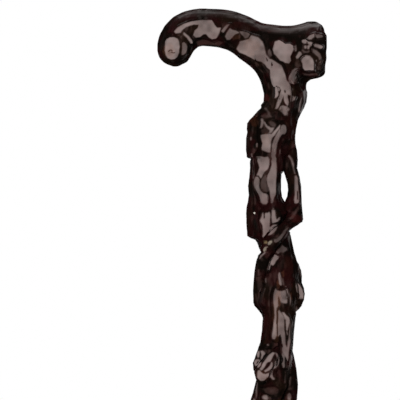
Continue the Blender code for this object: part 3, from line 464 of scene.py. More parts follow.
# The grip's top is satin: shares on the knob's and the burl's side of two columns, and where it faces up
SATIN_KNOB_SIDE = 0.26
SATIN_BURL_SIDE = 0.42
SATIN_COLUMNS = (238, 264)
SATIN_CHANGE = 0.5
SATIN_FACING = (0.45, 0.85)
SATIN_HEIGHTS = (0.835, 0.845)
WILD_HOLLOW = 0.95
WILD_HOLLOW_GAP = (-0.8, 1.0)

# Lacquer colours, and how oxblood and umber are spread over the black
BLACK = (0.0032, 0.0022, 0.0017)
OXBLOOD = (0.0095, 0.0023, 0.0023)
UMBER = (0.0072, 0.0038, 0.0024)
OXBLOOD_RANGE = (-0.3, 0.7)
UMBER_RANGE = (0.0, 0.9)
BROWN_LUMPS = (0.8, 0.95)
BROWN_SHARE = 0.4
TINTS = {
    "brown": (0.028, 0.0095, 0.0048),
    "red": (0.020, 0.0040, 0.0036),
    "tan": (0.12, 0.085, 0.045),
    "pale": (0.17, 0.145, 0.115),
    "rust": (0.060, 0.022, 0.012),
    # painted highlight tint: a warm colour laid under the bright plates to warm their highlights
    "painted_highlight_peach": (0.045, 0.018, 0.009),
    # near-white for a painted glint
    "painted_glint_white": (0.75, 0.70, 0.62),
}
# Soft spots on the front: tint, strength, half width and height, then column and row in the photo
SPOTS = (
    ("brown", 0.5, 4, 5, 255.5, 121),
    ("brown", 0.3, 2, 6, 259, 113),
    ("red", 0.8, 3, 4, 266, 98),
    ("red", 0.3, 6, 12, 291, 127),
    ("red", 0.3, 42, 5, 262, 26),
    # the peach spots paint a warm highlight tint under bright plates
    ("painted_highlight_peach", 0.5, 6, 7, 169, 51),
    ("painted_highlight_peach", 0.45, 9, 7, 252, 47),
    ("painted_highlight_peach", 0.7, 3, 7, 278, 298),
    ("painted_highlight_peach", 0.3, 4, 6, 266, 140),
    ("painted_highlight_peach", 0.35, 3, 22, 276, 318),
    ("painted_highlight_peach", 0.3, 6, 5, 263, 375),
    ("red", 0.45, 5, 16, 289, 272),
    ("red", 0.8, 8, 4, 296, 218),
    ("brown", 0.45, 4, 3, 236, 37),
    # a painted glint: one white dot
    ("painted_glint_white", 1.0, 0.9, 0.9, 253, 213),
    ("red", 0.3, 5, 24, 268, 322),
)
# Worn marks on the front: tint, strength, and an outline in photo pixels
MARKS = (
    ("pale", 0.9, ((266.6, 242.2), (268.3, 240.6), (270.8, 240.2), (271.3, 242), (270, 244.4),
        (268.3, 244.8), (267.2, 243.6))),
    ("tan", 0.9, ((262.5, 241), (264.5, 240.2), (266.4, 241.4), (265.6, 243), (263.2, 242.8))),
    ("pale", 0.8, ((264.5, 247.5), (266.8, 246.4), (267.5, 247.3), (266, 248.6), (265.8, 251),
        (264.2, 251.5), (263, 250.4), (263.2, 248.5))),
    ("rust", 0.5, ((276.2, 281.5), (278, 279.5), (279.5, 283), (279.4, 288), (277.6, 289), (276.4, 286))),
    ("rust", 0.45, ((281, 271), (284, 270.5), (284.4, 276), (282.6, 276.5))),
    ("rust", 0.4, ((289.5, 293), (291.5, 292), (292.8, 298), (291.2, 301))),
)
# Spots and marks: how ragged they are, where their edges fade, and how far the surface has to face the photo
SPOT_RAGGED = 0.35
SPOT_SIZE = 1.25
SPOT_FADE = (0, 0.5)
MARK_RAGGED = 0.5
MARK_FADE = (-0.4, 0.5)
MARKED_FRONT = (0.1, 0.5)

# Lacquer: its fixed values, then socket, bright value, dull value, and the dullness that gives the last
LACQUER = {"IOR": 1.6, "Coat IOR": 1.65, "Coat Roughness": 0.03, "Specular Tint": (1, 0.55, 0.48, 1)}
LACQUER_LEVELS = (
    ("Roughness", 0.07, 0.42, 1.0),
    ("Coat Weight", 1.0, 0.0, 0.8),
    ("Specular IOR Level", 0.5, 0.0, 1.0),
)
LACQUER_GRAIN = {"Scale": 420, "Detail": 3}
LACQUER_SHADES = {"To Min": 0.55, "To Max": 1.45}
LACQUER_RIPPLE = {"Scale": 300, "Detail": 2}
RIPPLE_BUMP = {"Strength": 0.12, "Distance": 0.0006}
# Plain materials: detail of the noise, the part of it between their two colours, and how strong a bump is
PLAIN_DETAIL = 5
PLAIN_RANGE = (0.35, 0.65)
PLAIN_BUMP = 0.5

# Half section of the rubber tip as radius and height, in millimetres, from the bore's floor round to the sole
TIP_SECTION = (
    (0, 9), (11.1, 9), (11.1, 46), (14.5, 46), (15.7, 45), (15.7, 42), (14.5, 40.5), (14.5, 14.5),
    (15.9, 9.5), (18.5, 6.5), (18.5, 1.5), (17.3, 0), (12.1, 0), (11.7, 1.5), (10.9, 1.5), (10.5, 0),
    (7.6, 0), (7.2, 1.5), (6.4, 1.5), (6, 0), (0, 0),
)
WASHER_SECTION = ((3, 11.3), (10.5, 11.3), (10.5, 9.3), (3, 9.3), (3, 11.3))
TURNED_STEPS = 96
# Corners are rounded by this many millimetres, or this share of a short side, in so many steps
ROUNDED = 0.35
ROUNDED_SHARE = 0.4
ROUND_STEPS = 5
LONGEST_STEP = 2.5
MERGE_DISTANCE = 1e-6
# The mould's seams: angles and half width in degrees, height and least radius in millimetres
SEAM_ANGLES = (45, 225)
SEAM_WIDTH = 1.6
SEAM_HEIGHT = 0.12
SEAM_FROM = 13

# Panel lights: name, azimuth, elevation, distance, width, height and brightness in a mirror
SIDE_PANELS = (
    ("front_panel", -33, -10, 1.5, 4.3, 5.4, 1.85),
    ("front_panel_middle", -20, -6, 1.45, 1.9, 3.0, 0.45),
    ("right_panel", 39, -10, 1.5, 0.95, 3.4, 1.55),
    ("rim_panel", 128, -5, 1.5, 1.0, 2.6, 0.8),
)
TOP_PANEL = ("top_panel", 180, 70, 1.6, 1.6, 2.2, 0.75)
PANEL_COLOUR = (1, 0.98, 0.965)
LIGHT_CENTRE = Vector((0, 0, 0.72))

# The white studio, its dim fill, and the dark screens round it, which are open behind the cane at one level
WHITE = (1, 1, 1, 1)
FILL_COLOUR = (0.9, 0.95, 1, 1)
FILL_STRENGTH = 0.25
SCREEN_GLOW = 0.06
FLAG_SIDES = 24
FLAG_OPEN_SIDES = 2
FLAG_OPEN_LEVEL = 1
FLAG_RADIUS = 2.6
FLAG_HEIGHTS = (-2.5, 0.1, 1.4, 3.4)
FLOOR_RADIUS = 9.0
FLOOR_SIDES = 96
FLOOR_LEVEL = -0.0005
FLOOR_WHITE = 0.88


def smooth(value, low, high):
    """A soft step from 0 at low to 1 at high."""
    part = np.clip((value - low) / (high - low), 0, 1)
    return part * part * (3 - 2 * part)


def hashed(cells, salt):
    """A steady number from 0 to 1 for each whole-number cell."""
    x, y, z = ((cells[:, k] & LOW_BITS).astype(np.uint64) * np.uint64(CELL_FACTORS[k]) for k in range(3))
    mixed = (x + y + z + np.uint64(salt * MIX_FACTOR)) & np.uint64(LOW_BITS)
    mixed = ((mixed ^ (mixed >> np.uint64(13))) * np.uint64(MIX_FACTOR)) & np.uint64(LOW_BITS)
    mixed = mixed ^ (mixed >> np.uint64(16))
    return mixed.astype(float) / 2**32


def noise(points, size, salt):
    """Smooth noise from -1 to 1 with features of about that size."""
    spot = points / size
    base = np.floor(spot).astype(np.int64)
    part = spot - base
    part = part * part * (3 - 2 * part)
    total = np.zeros(len(points))
    for corner in np.ndindex(2, 2, 2):
        share = np.prod(np.where(np.array(corner) == 1, part, 1 - part), axis=1)
        total += share * hashed(base + np.array(corner), salt)
    return 2 * total - 1


def noises(points, layers):
    """Several noises added up."""
    return sum(share * noise(points, size, salt) for share, size, salt in layers)


def to_borders(points, salt):
    """Distance in cells to the nearest border between two lumps, and a random number for each lump."""
    base = np.floor(points).astype(np.int64)
    near = np.full(len(points), FAR_CELLS)
    second = np.full(len(points), FAR_CELLS)
    owner = np.zeros(len(points))
    for step in np.ndindex(3, 3, 3):
        cell = base + np.array(step) - 1
        place = np.stack([hashed(cell, salt + k) for k in range(3)], axis=1)
        away = np.linalg.norm(points - cell - CELL_MARGIN - (1 - 2 * CELL_MARGIN) * place, axis=1)
        closer = away < near
        second = np.where(closer, near, np.minimum(second, away))
        owner = np.where(closer, hashed(cell, salt + OWNER_SALT), owner)
        near = np.minimum(near, away)
    return (second - near) / 2, owner


def path_distance(px, py, points):
    """Distance in pixels to a line through points."""
    best = np.full(px.shape, np.inf)
    for (ax, ay), (bx, by) in zip(points, points[1:]):
        dx, dy = bx - ax, by - ay
        part = np.clip(((px - ax) * dx + (py - ay) * dy) / (dx * dx + dy * dy), 0, 1)
        best = np.minimum(best, np.hypot(px - ax - part * dx, py - ay - part * dy))
    return best


def inside(px, py, points):
    """True where a pixel lies within an outline."""
    found = np.zeros(px.shape, bool)
    for (ax, ay), (bx, by) in zip(points, points[1:] + points[:1]):
        if ay != by:
            found ^= ((ay > py) != (by > py)) & (px < (bx - ax) * (py - ay) / (by - ay) + ax)
    return found


def near_stroke(px, py, points):
    """True where a pixel is close enough to an outline or line to be shaped by it."""
    xs, ys = zip(*points)
    across = (px > min(xs) - STROKE_REACH) & (px < max(xs) + STROKE_REACH)
    return across & (py > min(ys) - STROKE_REACH) & (py < max(ys) + STROKE_REACH)


def stroke_distance(px, py, half, points):
    """Distance in pixels to a lump, negative inside: an outline, or with a half width a narrow crest."""
    if half:
        return path_distance(px, py, points) - half
    away = path_distance(px, py, points + points[:1])
    return np.where(inside(px, py, points), -away, away)


def to_strokes(px, py):
    """Distance in pixels to the nearest lump of the front, negative inside it, and that lump's shine."""
    best = np.full(px.shape, FAR_FROM_LUMPS)
    shines = np.ones(px.shape)
    for shine, half, points in [(shine, 0, points) for shine, points in PLATES] + list(STRIPS):
        near = np.flatnonzero(near_stroke(px, py, points))
        away = stroke_distance(px[near], py[near], half, points)
        closer = away < best[near]
        best[near[closer]] = away[closer]
        shines[near[closer]] = shine
    return best, shines


def grooves(px, py):
    """Depth in millimetres of the fine cuts at each pixel, and how much they dull it."""
    depth = np.zeros(px.shape)
    dull = np.zeros(px.shape)
    for half, deep, points in GROOVES:
        near = near_stroke(px, py, points)
        mark = np.exp(-((path_distance(px[near], py[near], points) / half) ** 2))
        depth[near] += deep * mark
        dull[near] = np.maximum(dull[near], mark)
    return depth, dull


def gentle(slope, bend, half, steepest):
    """Slope and bend of a face, limited so that it stays between two slopes over its whole width."""
    low, high = steepest
    bend = np.clip(bend, (low - high) / (4 * half), (high - low) / (4 * half))
    spread = 2 * abs(bend) * half
    return np.clip(slope, low + spread, high - spread), bend


def faces_to_flatten():
    """The broad faces, and every plate that lies on none of them."""
    faces = list(FACES)
    for _, outline in PLATES:
        x, y = np.mean(np.array(outline, float), axis=0)
        if not any(inside(np.array([x]), np.array([y]), face)[0] for face in FACES):
            faces.append(outline)
    return faces


def flatten_plates(points, normals, px, py):
    """Each drawn plate pressed towards one gently curved face that turns to the light."""
    total, weights = np.zeros(len(points)), np.zeros(len(points))
    for outline in faces_to_flatten():
        near = np.flatnonzero(near_stroke(px, py, outline) & (normals[:, 1] < -LEAST_TURN))
        if not len(near):
            continue
        away = stroke_distance(px[near], py[near], 0, outline)
        within = away < 0
        if within.sum() < FEWEST_TO_FIT or -normals[near[within], 1].mean() < LEAST_FACING:
            continue
        offset = (points[near] - points[near[within]].mean(axis=0)) / MM
        x, z = offset[:, 0], offset[:, 2]
        terms = np.stack([np.ones(len(near)), x, z, x * x, x * z, z * z], axis=1)
        wanted, *_ = np.linalg.lstsq(terms[within], points[near[within], 1] / MM, rcond=None)
        across = STEEPEST_ACROSS if wanted[1] < TURNED_RIGHT else ACROSS_RIGHT
        wanted[1], wanted[3] = gentle(wanted[1], wanted[3], np.ptp(x[within]) / 2, across)
        wanted[2], wanted[5] = gentle(wanted[2], wanted[5], np.ptp(z[within]) / 2, STEEPEST_ALONG)
        wanted[4] = np.clip(wanted[4], -MOST_TWIST, MOST_TWIST)
        wanted[0] = (points[near[within], 1] / MM - terms[within, 1:] @ wanted[1:]).mean()
        weight = FLATTEN * smooth(-away, *PLATE_RIM) * smooth(-normals[near, 1], *PRESSED_FACING)
        total[near] += weight * np.clip(terms @ wanted * MM - points[near, 1], -MOST_PRESS, MOST_PRESS)
        weights[near] += weight
    moved = points.copy()
    moved[:, 1] += total / np.maximum(weights, 1)
    return moved


def photo_pixels(points):
    """The photo column and row at which each point shows."""
    return AXIS_PX + points[:, 0] / PIXEL, TOP_PX + (CANE_TOP - points[:, 2]) / PIXEL


def edge_shift(table, rows, outward, here):
    """How far an edge has to move in each row to reach a table of rows and columns."""
    goal = np.interp(rows, [row for row, _ in table], [column for _, column in table])
    return np.clip(goal + outward - here, -MOST_SHIFT, MOST_SHIFT)


def with_near_rows(edge, reach):
    """An edge, and the same edge a few rows up and down."""
    rows = np.arange(len(edge))
    return [edge[np.clip(rows + k, 0, len(edge) - 1)] for k in range(-reach, reach + 1)]


def evened(edge):
    """The outermost of each few neighbouring rows, averaged over a few more."""
    outermost = np.max(with_near_rows(edge, EDGE_NEAR), axis=0)
    return np.mean(with_near_rows(outermost, EDGE_MEAN), axis=0)


def extent(groups, lowest):
    """Left and right column of a group of pieces in each half row of the photo."""
    count = int(PHOTO_SIDE / EDGE_ROW)
    left, right = np.full(count, np.inf), np.full(count, -np.inf)
    for points in groups:
        px, py = photo_pixels(points)
        shown = (py > lowest) & (py < PHOTO_SIDE)
        row = (py[shown] / EDGE_ROW).astype(int)
        np.minimum.at(left, row, px[shown])
        np.maximum.at(right, row, px[shown])
    rows = np.flatnonzero(np.isfinite(left))
    middle = rows * EDGE_ROW + EDGE_ROW / 2
    return middle, -evened(-left[rows]), evened(right[rows])


def shift_edges(points, now, left_goal, right_goal, first_row, last_row):
    """Points shifted sideways so that their outline meets the goal's in every row between two rows."""
    rows, left, right = now
    px, py = photo_pixels(points)
    here_left, here_right = np.interp(py, rows, left), np.interp(py, rows, right)
    part = np.clip((px - here_left) / np.maximum(here_right - here_left, 1), 0, 1)
    shift = np.zeros(len(points))
    if left_goal:
        shift += (1 - part) ** 2 * edge_shift(left_goal, py, -EDGE_OUTWARD, here_left)
    if right_goal:
        shift += part**2 * edge_shift(right_goal, py, EDGE_OUTWARD, here_right)
    shift *= smooth(py, first_row - EDGE_FADE, first_row) * (1 - smooth(py, last_row, last_row + EDGE_FADE))
    moved = points.copy()
    moved[:, 0] += shift * PIXEL
    return moved


def fit_outline(points):
    """Shifts every wooden piece sideways until the cane has the photo's outline."""
    for nodes, lowest, left_goal, right_goal, first_row, last_row in OUTLINE_FITS:
        now = extent([points[node] for node in nodes], lowest)
        for node in nodes:
            points[node] = shift_edges(points[node], now, left_goal, right_goal, first_row, last_row)


def nudge(points):
    """The grip's outline moved a little where the CAD shape and the photo part."""
    px, py = photo_pixels(points)
    moved = points.copy()
    for x, y, reach, right, down in NUDGES:
        weight = smooth(1 - np.hypot(px - x, py - y) / reach, 0, 1)
        moved[:, 0] += weight * right * PIXEL
        moved[:, 2] -= weight * down * PIXEL
    return moved


def vectors(data, attribute):
    """A mesh collection's three-number values as rows."""
    flat = np.zeros(len(data) * 3)
    data.foreach_get(attribute, flat)
    return flat.reshape(-1, 3)


def squeeze(heights):
    """Shortens the part of the stem below the photo, so that its mesh comes out coarser along the grain."""
    return np.where(heights < COARSE_BELOW, COARSE_BELOW + (heights - COARSE_BELOW) * COARSE_SHARE, heights)


def stretch_back(heights):
    """Undoes squeeze."""
    return np.where(heights < COARSE_BELOW, COARSE_BELOW + (heights - COARSE_BELOW) / COARSE_SHARE, heights)


def skin_mesh(node, voxel):
    """A dense copy of a CAD node's mesh, lengthened past the glue joint to be cut there later."""
    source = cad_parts[node].data.copy()
    source.materials.clear()
    points = vectors(source.vertices, "co")
    if node == "handle":
        points[points[:, 2] < HANDLE_END, 2] -= JOINT_STRETCH
    if node == "main_stem":
        points[points[:, 2] > STEM_END, 2] += JOINT_STRETCH
        points[:, 2] = squeeze(points[:, 2])
    source.vertices.foreach_set("co", points.ravel())
    shell = new_object(node + "_shell", source)
    remesh = shell.modifiers.new("skin", "REMESH")
    remesh.mode = "VOXEL"
    remesh.voxel_size = voxel
    made = bpy.data.meshes.new_from_object(shell.evaluated_get(bpy.context.evaluated_depsgraph_get()))
    bpy.data.objects.remove(shell)
    if node == "main_stem":
        points = vectors(made.vertices, "co")
        points[:, 2] = stretch_back(points[:, 2])
        made.vertices.foreach_set("co", points.ravel())
    return made


def neighbour_sums(points, first, last):
    """For each point the sum of the points that an edge joins it to."""
    count = len(points)
    sums = [
        np.bincount(first, line[last], count) + np.bincount(last, line[first], count)
        for line in points.T
    ]
    return np.stack(sums, axis=1)


def relaxed(points, mesh, rounds):
    """The points smoothed without shrinking, by steps in and out again."""
    edges = np.zeros(len(mesh.edges) * 2, np.int64)
    mesh.edges.foreach_get("vertices", edges)
    first, last = edges.reshape(-1, 2).T
    count = np.bincount(edges, minlength=len(points))[:, None]
    for _ in range(rounds):
        for share in (SMOOTH_IN, SMOOTH_OUT):
            points = points + share * (neighbour_sums(points, first, last) / count - points)
    return points


def neck_polar(points):
    """Sector number and radius of each point about the neck's own axis."""
    across = points[:, 0] - JOINT_X
    turn = np.arctan2(points[:, 1], across) / (2 * math.pi) * NECK_SECTORS
    return turn % NECK_SECTORS, np.hypot(across, points[:, 1])


def neck_profile(points, height):
    """Outer radius of a piece in each sector, at a height near the joint."""
    level = points[np.abs(points[:, 2] - height) < SLICE]
    sector, radius = neck_polar(level)
    outer = radius > BORE_RADIUS
    profile = np.zeros(NECK_SECTORS)
    np.maximum.at(profile, sector[outer].astype(int), radius[outer])
    empty = profile == 0
    profile[empty] = np.interp(np.flatnonzero(empty), np.flatnonzero(~empty), profile[~empty])
    wrapped = np.concatenate([profile[-PROFILE_WRAP:], profile, profile[:PROFILE_WRAP]])
    return np.convolve(wrapped, np.ones(PROFILE_MEAN) / PROFILE_MEAN, "same")[PROFILE_WRAP:-PROFILE_WRAP]


def blend_neck(points, upper, lower, down, up):
    """Points near the joint moved so that the grip runs into the stem without a step."""
    sector, radius = neck_polar(points)
    away = points[:, 2] - JOINT_Z
    part = smooth(away, -down, up)
    low = np.floor(sector).astype(int) % NECK_SECTORS
    high = (low + 1) % NECK_SECTORS
    share = sector - np.floor(sector)
    top = upper[low] * (1 - share) + upper[high] * share
    bottom = lower[low] * (1 - share) + lower[high] * share
    target = bottom * (1 - part) + top * part
    weight = smooth(away + down, 0, down) * smooth(up - away, 0, up) * (radius > BORE_RADIUS)
    scale = 1 + weight * (target / np.maximum(radius, LEAST_RADIUS) - 1)
    moved = points.copy()
    moved[:, 0] = JOINT_X + (points[:, 0] - JOINT_X) * scale
    moved[:, 1] = points[:, 1] * scale
    return moved


def join_neck(points, narrow, wide):
    """The skins at the joint made one surface: in a narrow band at the outline, a wide one elsewhere."""
    grip, stem = points["handle"], points["main_stem"]
    bands = [
        (neck_profile(grip, JOINT_Z + up), neck_profile(stem, JOINT_Z - down), down, up)
        for down, up in (narrow, wide)
    ]
    for node in ("handle", "main_stem"):
        _, radius = neck_polar(points[node])
        broad = smooth(np.abs(points[node][:, 1]) / np.maximum(radius, LEAST_RADIUS), *BROAD_SIDES)[:, None]
        near_outline, elsewhere = (blend_neck(points[node], *band) for band in bands)
        points[node] = near_outline * (1 - broad) + elsewhere * broad


def on_bore(points):
    """Which points lie on the bore that the dowel sits in."""
    low, high = np.array(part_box("joint_dowel"))
    away = np.hypot(*(points - (low + high) / 2)[:, :2].T)
    beside = (points[:, 2] > low[2] - BORE_MARGIN) & (points[:, 2] < high[2] + BORE_MARGIN)
    return beside & (away < (high[0] - low[0]) / 2 + BORE_MARGIN)


def normals_of(mesh, points):
    """The vertex normals that a mesh has with its vertices at these points."""
    mesh.vertices.foreach_set("co", points.ravel())
    mesh.update()
    return vectors(mesh.vertex_normals, "vector")


def facing_photo(points, normals, node):
    """How far each point takes the drawn lumps; the grip uses the stem's limits near the joint."""
    near_joint = 1 - smooth(points[:, 2], JOINT_Z, JOINT_Z + RAMP_CHANGE) if node == "handle" else 0
    (low, high), (stem_low, stem_high) = CARVING[node][1], CARVING["main_stem"][1]
    low = low + (stem_low - low) * near_joint
    high = high + (stem_high - high) * near_joint
    return smooth(-normals[:, 1], low, high)


def lump_gap(points, normals, node, cell, salt):
    """Millimetres to the nearest lump, its shine, the cuts and their dullness, a wild lump's random number,
    and how far each point takes the drawn lumps."""
    px, py = photo_pixels(points)
    turns = [noise(points, WANDER_SIZE, salt + WANDER_SALT + k) for k in range(3)]
    border, owner = to_borders((points + np.stack(turns, axis=1) * WANDER) / np.array(cell), salt)
    width = WILD_EDGE + WILD_EDGE_SPREAD * owner
    wild = width - border * min(cell[0], cell[1]) / MM
    front = facing_photo(points, normals, node) * smooth(PHOTO_SIDE - py, *PHOTO_FADE)
    drawn, shine = to_strokes(px, py)
    drawn = drawn * PIXEL / MM + RAGGED * noise(points, *RAGGED_NOISE) * front
    cut, dull = grooves(px, py)
    return drawn * front + wild * (1 - front), shine, cut * front, dull * front, owner, front


def relief(points, normals, gap, cut, front, node):
    """Height in millimetres of the carved skin over the smooth one."""
    drawn_strength, _, wild_strength, rim_level = CARVING[node]
    gap = gap - LUMP_RIM
    fall = SIDE_REACH * (1 - np.exp(-np.clip(gap, 0, None) / SIDE_REACH))
    crown = CROWN * (1 - np.exp(np.clip(gap, None, 0) / CROWN_REACH))
    wild = crown - SIDE_SLOPE * fall
    drawn = wild - cut
    turned = smooth(-normals[:, 1], *RIM_TURN)
    drawn = drawn * turned + rim_level * (1 - turned)
    wild = wild * smooth(np.abs(points[:, 2] - JOINT_Z), *WILD_CLEAR)
    return drawn_strength * drawn * front + wild_strength * wild * (1 - front)


def hollow_of(points, gap, shine, dull, normals, front):
    """How dull each point is: the hollows between lumps, where they face the photo, and the fine cuts."""
    px, _ = photo_pixels(points)
    satin = SATIN_KNOB_SIDE + (SATIN_BURL_SIDE - SATIN_KNOB_SIDE) * smooth(px, *SATIN_COLUMNS)
    satin = satin * (1 + SATIN_CHANGE * noise(points, *SATIN_NOISE)) * smooth(normals[:, 2], *SATIN_FACING)
    facing = 1 - satin * smooth(points[:, 2], *SATIN_HEIGHTS)
    soft = EDGE_SOFTNESS * (1 + SOFT_CHANGE * noise(points, *SOFT_NOISE))
    even = EVEN_SHINE + noises(points, EVEN_NOISES)
    bright = shine * (1 - smooth(gap, -soft, LUMP_RIM + soft)) * (1 - dull) * even
    haze = HAZE * smooth(noises(points * np.array(STREAK_SHAPE), HAZE_NOISES), *HAZE_RANGE)
    drawn = (1 - np.maximum(bright, haze * (1 - dull))) * facing
    wild = WILD_HOLLOW * smooth(gap, *WILD_HOLLOW_GAP)
    wild += (1 - wild) * (1 - smooth(np.abs(points[:, 2] - JOINT_Z), *WILD_CLEAR))
    return drawn * front + wild * (1 - front)


def blend(first, second, share):
    """A share of the second colour over the first."""
    return first * (1 - share[:, None]) + np.array(second) * share[:, None]


def colours(points, owner, front):
    """The lacquer's colour at each point: nearly black, with warmer places, a painted warm tint under some
    highlights and a painted white glint. The lacquer's colour at each point: nearly black, with the
    photo's warmer places.
    """
    px, py = photo_pixels(points)
    made = np.tile(BLACK, (len(points), 1))
    made = blend(made, OXBLOOD, smooth(noises(points, OXBLOOD_NOISES), *OXBLOOD_RANGE))
    made = blend(made, UMBER, smooth(noises(points, UMBER_NOISES), *UMBER_RANGE))
    made = blend(made, TINTS["brown"], smooth(owner, *BROWN_LUMPS) * (1 - front) * BROWN_SHARE)
    marked = smooth(front, *MARKED_FRONT)
    ragged = noise(points, *SPOT_NOISE) * SPOT_RAGGED
    for name, strength, wide, tall, x, y in SPOTS:
        away = np.hypot((px - x) / wide, (py - y) / tall) + ragged
        made = blend(made, TINTS[name], strength * smooth(SPOT_SIZE - away, *SPOT_FADE) * marked)
    ragged = noise(points, *MARK_NOISE) * MARK_RAGGED
    for name, strength, outline in MARKS:
        away = stroke_distance(px, py, 0, outline) + ragged
        made = blend(made, TINTS[name], strength * smooth(-away, *MARK_FADE) * marked)
    return made


def keep_in_box(points, low, high):
    """The points held just inside a box."""
    return np.clip(points, np.array(low) + BOX_MARGIN, np.array(high) - BOX_MARGIN)


def store(mesh, name, kind, values):
    """Writes one value or colour for each vertex as a mesh attribute."""
    layer = mesh.attributes.new(name, kind, "POINT")
    layer.data.foreach_set("color" if kind == "FLOAT_COLOR" else "value", values.ravel().astype(np.float32))


def cut_at_joint(mesh, keep_above):
    """Cuts the lengthened end off at the glue joint and closes it with a sharp-edged face."""
    shape = bmesh.new()
    shape.from_mesh(mesh)
    level = JOINT_Z if keep_above else JOINT_Z - JOINT_GAP
    outward = (0, 0, -1 if keep_above else 1)
    whole = shape.verts[:] + shape.edges[:] + shape.faces[:]
    bmesh.ops.bisect_plane(shape, geom=whole, plane_co=(0, 0, level), plane_no=outward, clear_outer=True)
    rim = [edge for edge in shape.edges if edge.is_boundary]
    ends = [corner for corner in shape.verts if corner.is_boundary]
    for _ in range(RIM_ROUNDS):
        bmesh.ops.smooth_vert(shape, verts=ends, factor=RIM_SHARE, use_axis_x=True, use_axis_y=True)
    bmesh.ops.triangle_fill(shape, edges=rim, use_beauty=True, normal=outward)
    for edge in rim:
        edge.smooth = False
    shape.to_mesh(mesh)
    shape.free()


def smooth_bases():
    """Each wooden node's dense mesh, its smooth points, and the points that it had before."""
    meshes, points, start = {}, {}, {}
    for node, (_, voxel, rounds, _, _) in SKINS.items():
        meshes[node] = skin_mesh(node, voxel)
        start[node] = vectors(meshes[node].vertices, "co")
        points[node] = relaxed(start[node], meshes[node], rounds)
    fit_outline(points)
    join_neck(points, JOINT_BAND, JOINT_BAND)
    return meshes, points, start


def carve(mesh, points, node, cell, salt):
    """Carves lumps into a skin, stores how dull and what colour each point is, and returns the points."""
    normals = normals_of(mesh, points)
    px, py = photo_pixels(points)
    points = flatten_plates(points, normals, px, py)
    normals = normals_of(mesh, points)
    gap, shine, cut, dull, owner, front = lump_gap(points, normals, node, cell, salt)
    below = smooth(py, PHOTO_SIDE - PHOTO_FADE[1], PHOTO_SIDE - PHOTO_FADE[0])
    hidden = np.maximum(smooth(normals[:, 1], *TURNED_AWAY), below)
    shown = UNDULATION_SHOWN + (1 - UNDULATION_SHOWN) * hidden
    waves = UNDULATION * noise(points, *UNDULATION_NOISE) * shown
    lift = relief(points, normals, gap, cut, front, node) + waves
    tint = colours(points, owner, front)
    store(mesh, "hollow", "FLOAT", hollow_of(points, gap, shine, dull, normals, front))
    store(mesh, "tint", "FLOAT_COLOR", np.concatenate([tint, np.ones((len(tint), 1))], axis=1))
    return relaxed(points + normals * (lift * MM)[:, None], mesh, LAST_ROUNDS)


def new_object(name, data):
    """A new object in the scene."""
    made = bpy.data.objects.new(name, data)
    bpy.context.scene.collection.objects.link(made)
    return made


def mesh_of(shape, name):
    """A new mesh from a finished bmesh."""
    mesh = bpy.data.meshes.new(name)
    shape.to_mesh(mesh)
    shape.free()
    return mesh


def make_skins():
    """Makes the visual piece of every wooden node."""
    meshes, points, start = smooth_bases()
    for order, (node, (_, _, _, cell, _)) in enumerate(SKINS.items()):
        points[node] = carve(meshes[node], points[node], node, cell, SALTS_PER_SKIN * order + FIRST_SALT)
    points["handle"] = nudge(points["handle"])
    fit_outline(points)
    join_neck(points, LAST_BAND, LAST_WIDE_BAND)
    for node, (name, _, _, _, finish) in SKINS.items():
        mesh = meshes[node]
        bore = on_bore(start[node])
        points[node][bore] = start[node][bore]
        mesh.vertices.foreach_set("co", keep_in_box(points[node], *cad_box).ravel())
        if node in ("handle", "main_stem"):
            cut_at_joint(mesh, node == "handle")
        mesh.shade_smooth()
        mesh.materials.append(lacquer)
        piece = new_object(name, mesh)
        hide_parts(node)
        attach(piece, "cane")


def new_material(name):
    """A node material with its nodes and links."""
    made = bpy.data.materials.new(name)
    made.use_nodes = True
    return made, made.node_tree.nodes, made.node_tree.links


def set_inputs(node, values):
    """Sets some of a node's inputs by name or number."""
    for name, value in values.items():
        node.inputs[name].default_value = value


def add_node(nodes, kind, values):
    """A new shader node with the values of some of its inputs."""
    made = nodes.new("ShaderNode" + kind)
    set_inputs(made, values)
    return made


def add_attribute(nodes, name):
    """A node that reads an attribute of the mesh."""
    made = nodes.new("ShaderNodeAttribute")
    made.attribute_name = name
    return made


def add_math(nodes, links, operation, first, second):
    """The result of a sum on two outputs, or on an output and a number."""
    made = nodes.new("ShaderNodeMath")
    made.operation = operation
    links.new(first, made.inputs[0])
    if isinstance(second, float):
        made.inputs[1].default_value = second
    else:
        links.new(second, made.inputs[1])
    return made.outputs["Value"]


def add_mix(nodes, links, share, first, second, surface):
    """Mixes two shaders by a share into a surface socket."""
    mix = nodes.new("ShaderNodeMixShader")
    links.new(share, mix.inputs["Fac"])
    links.new(first, mix.inputs[1])
    links.new(second, mix.inputs[2])
    links.new(mix.outputs["Shader"], surface)


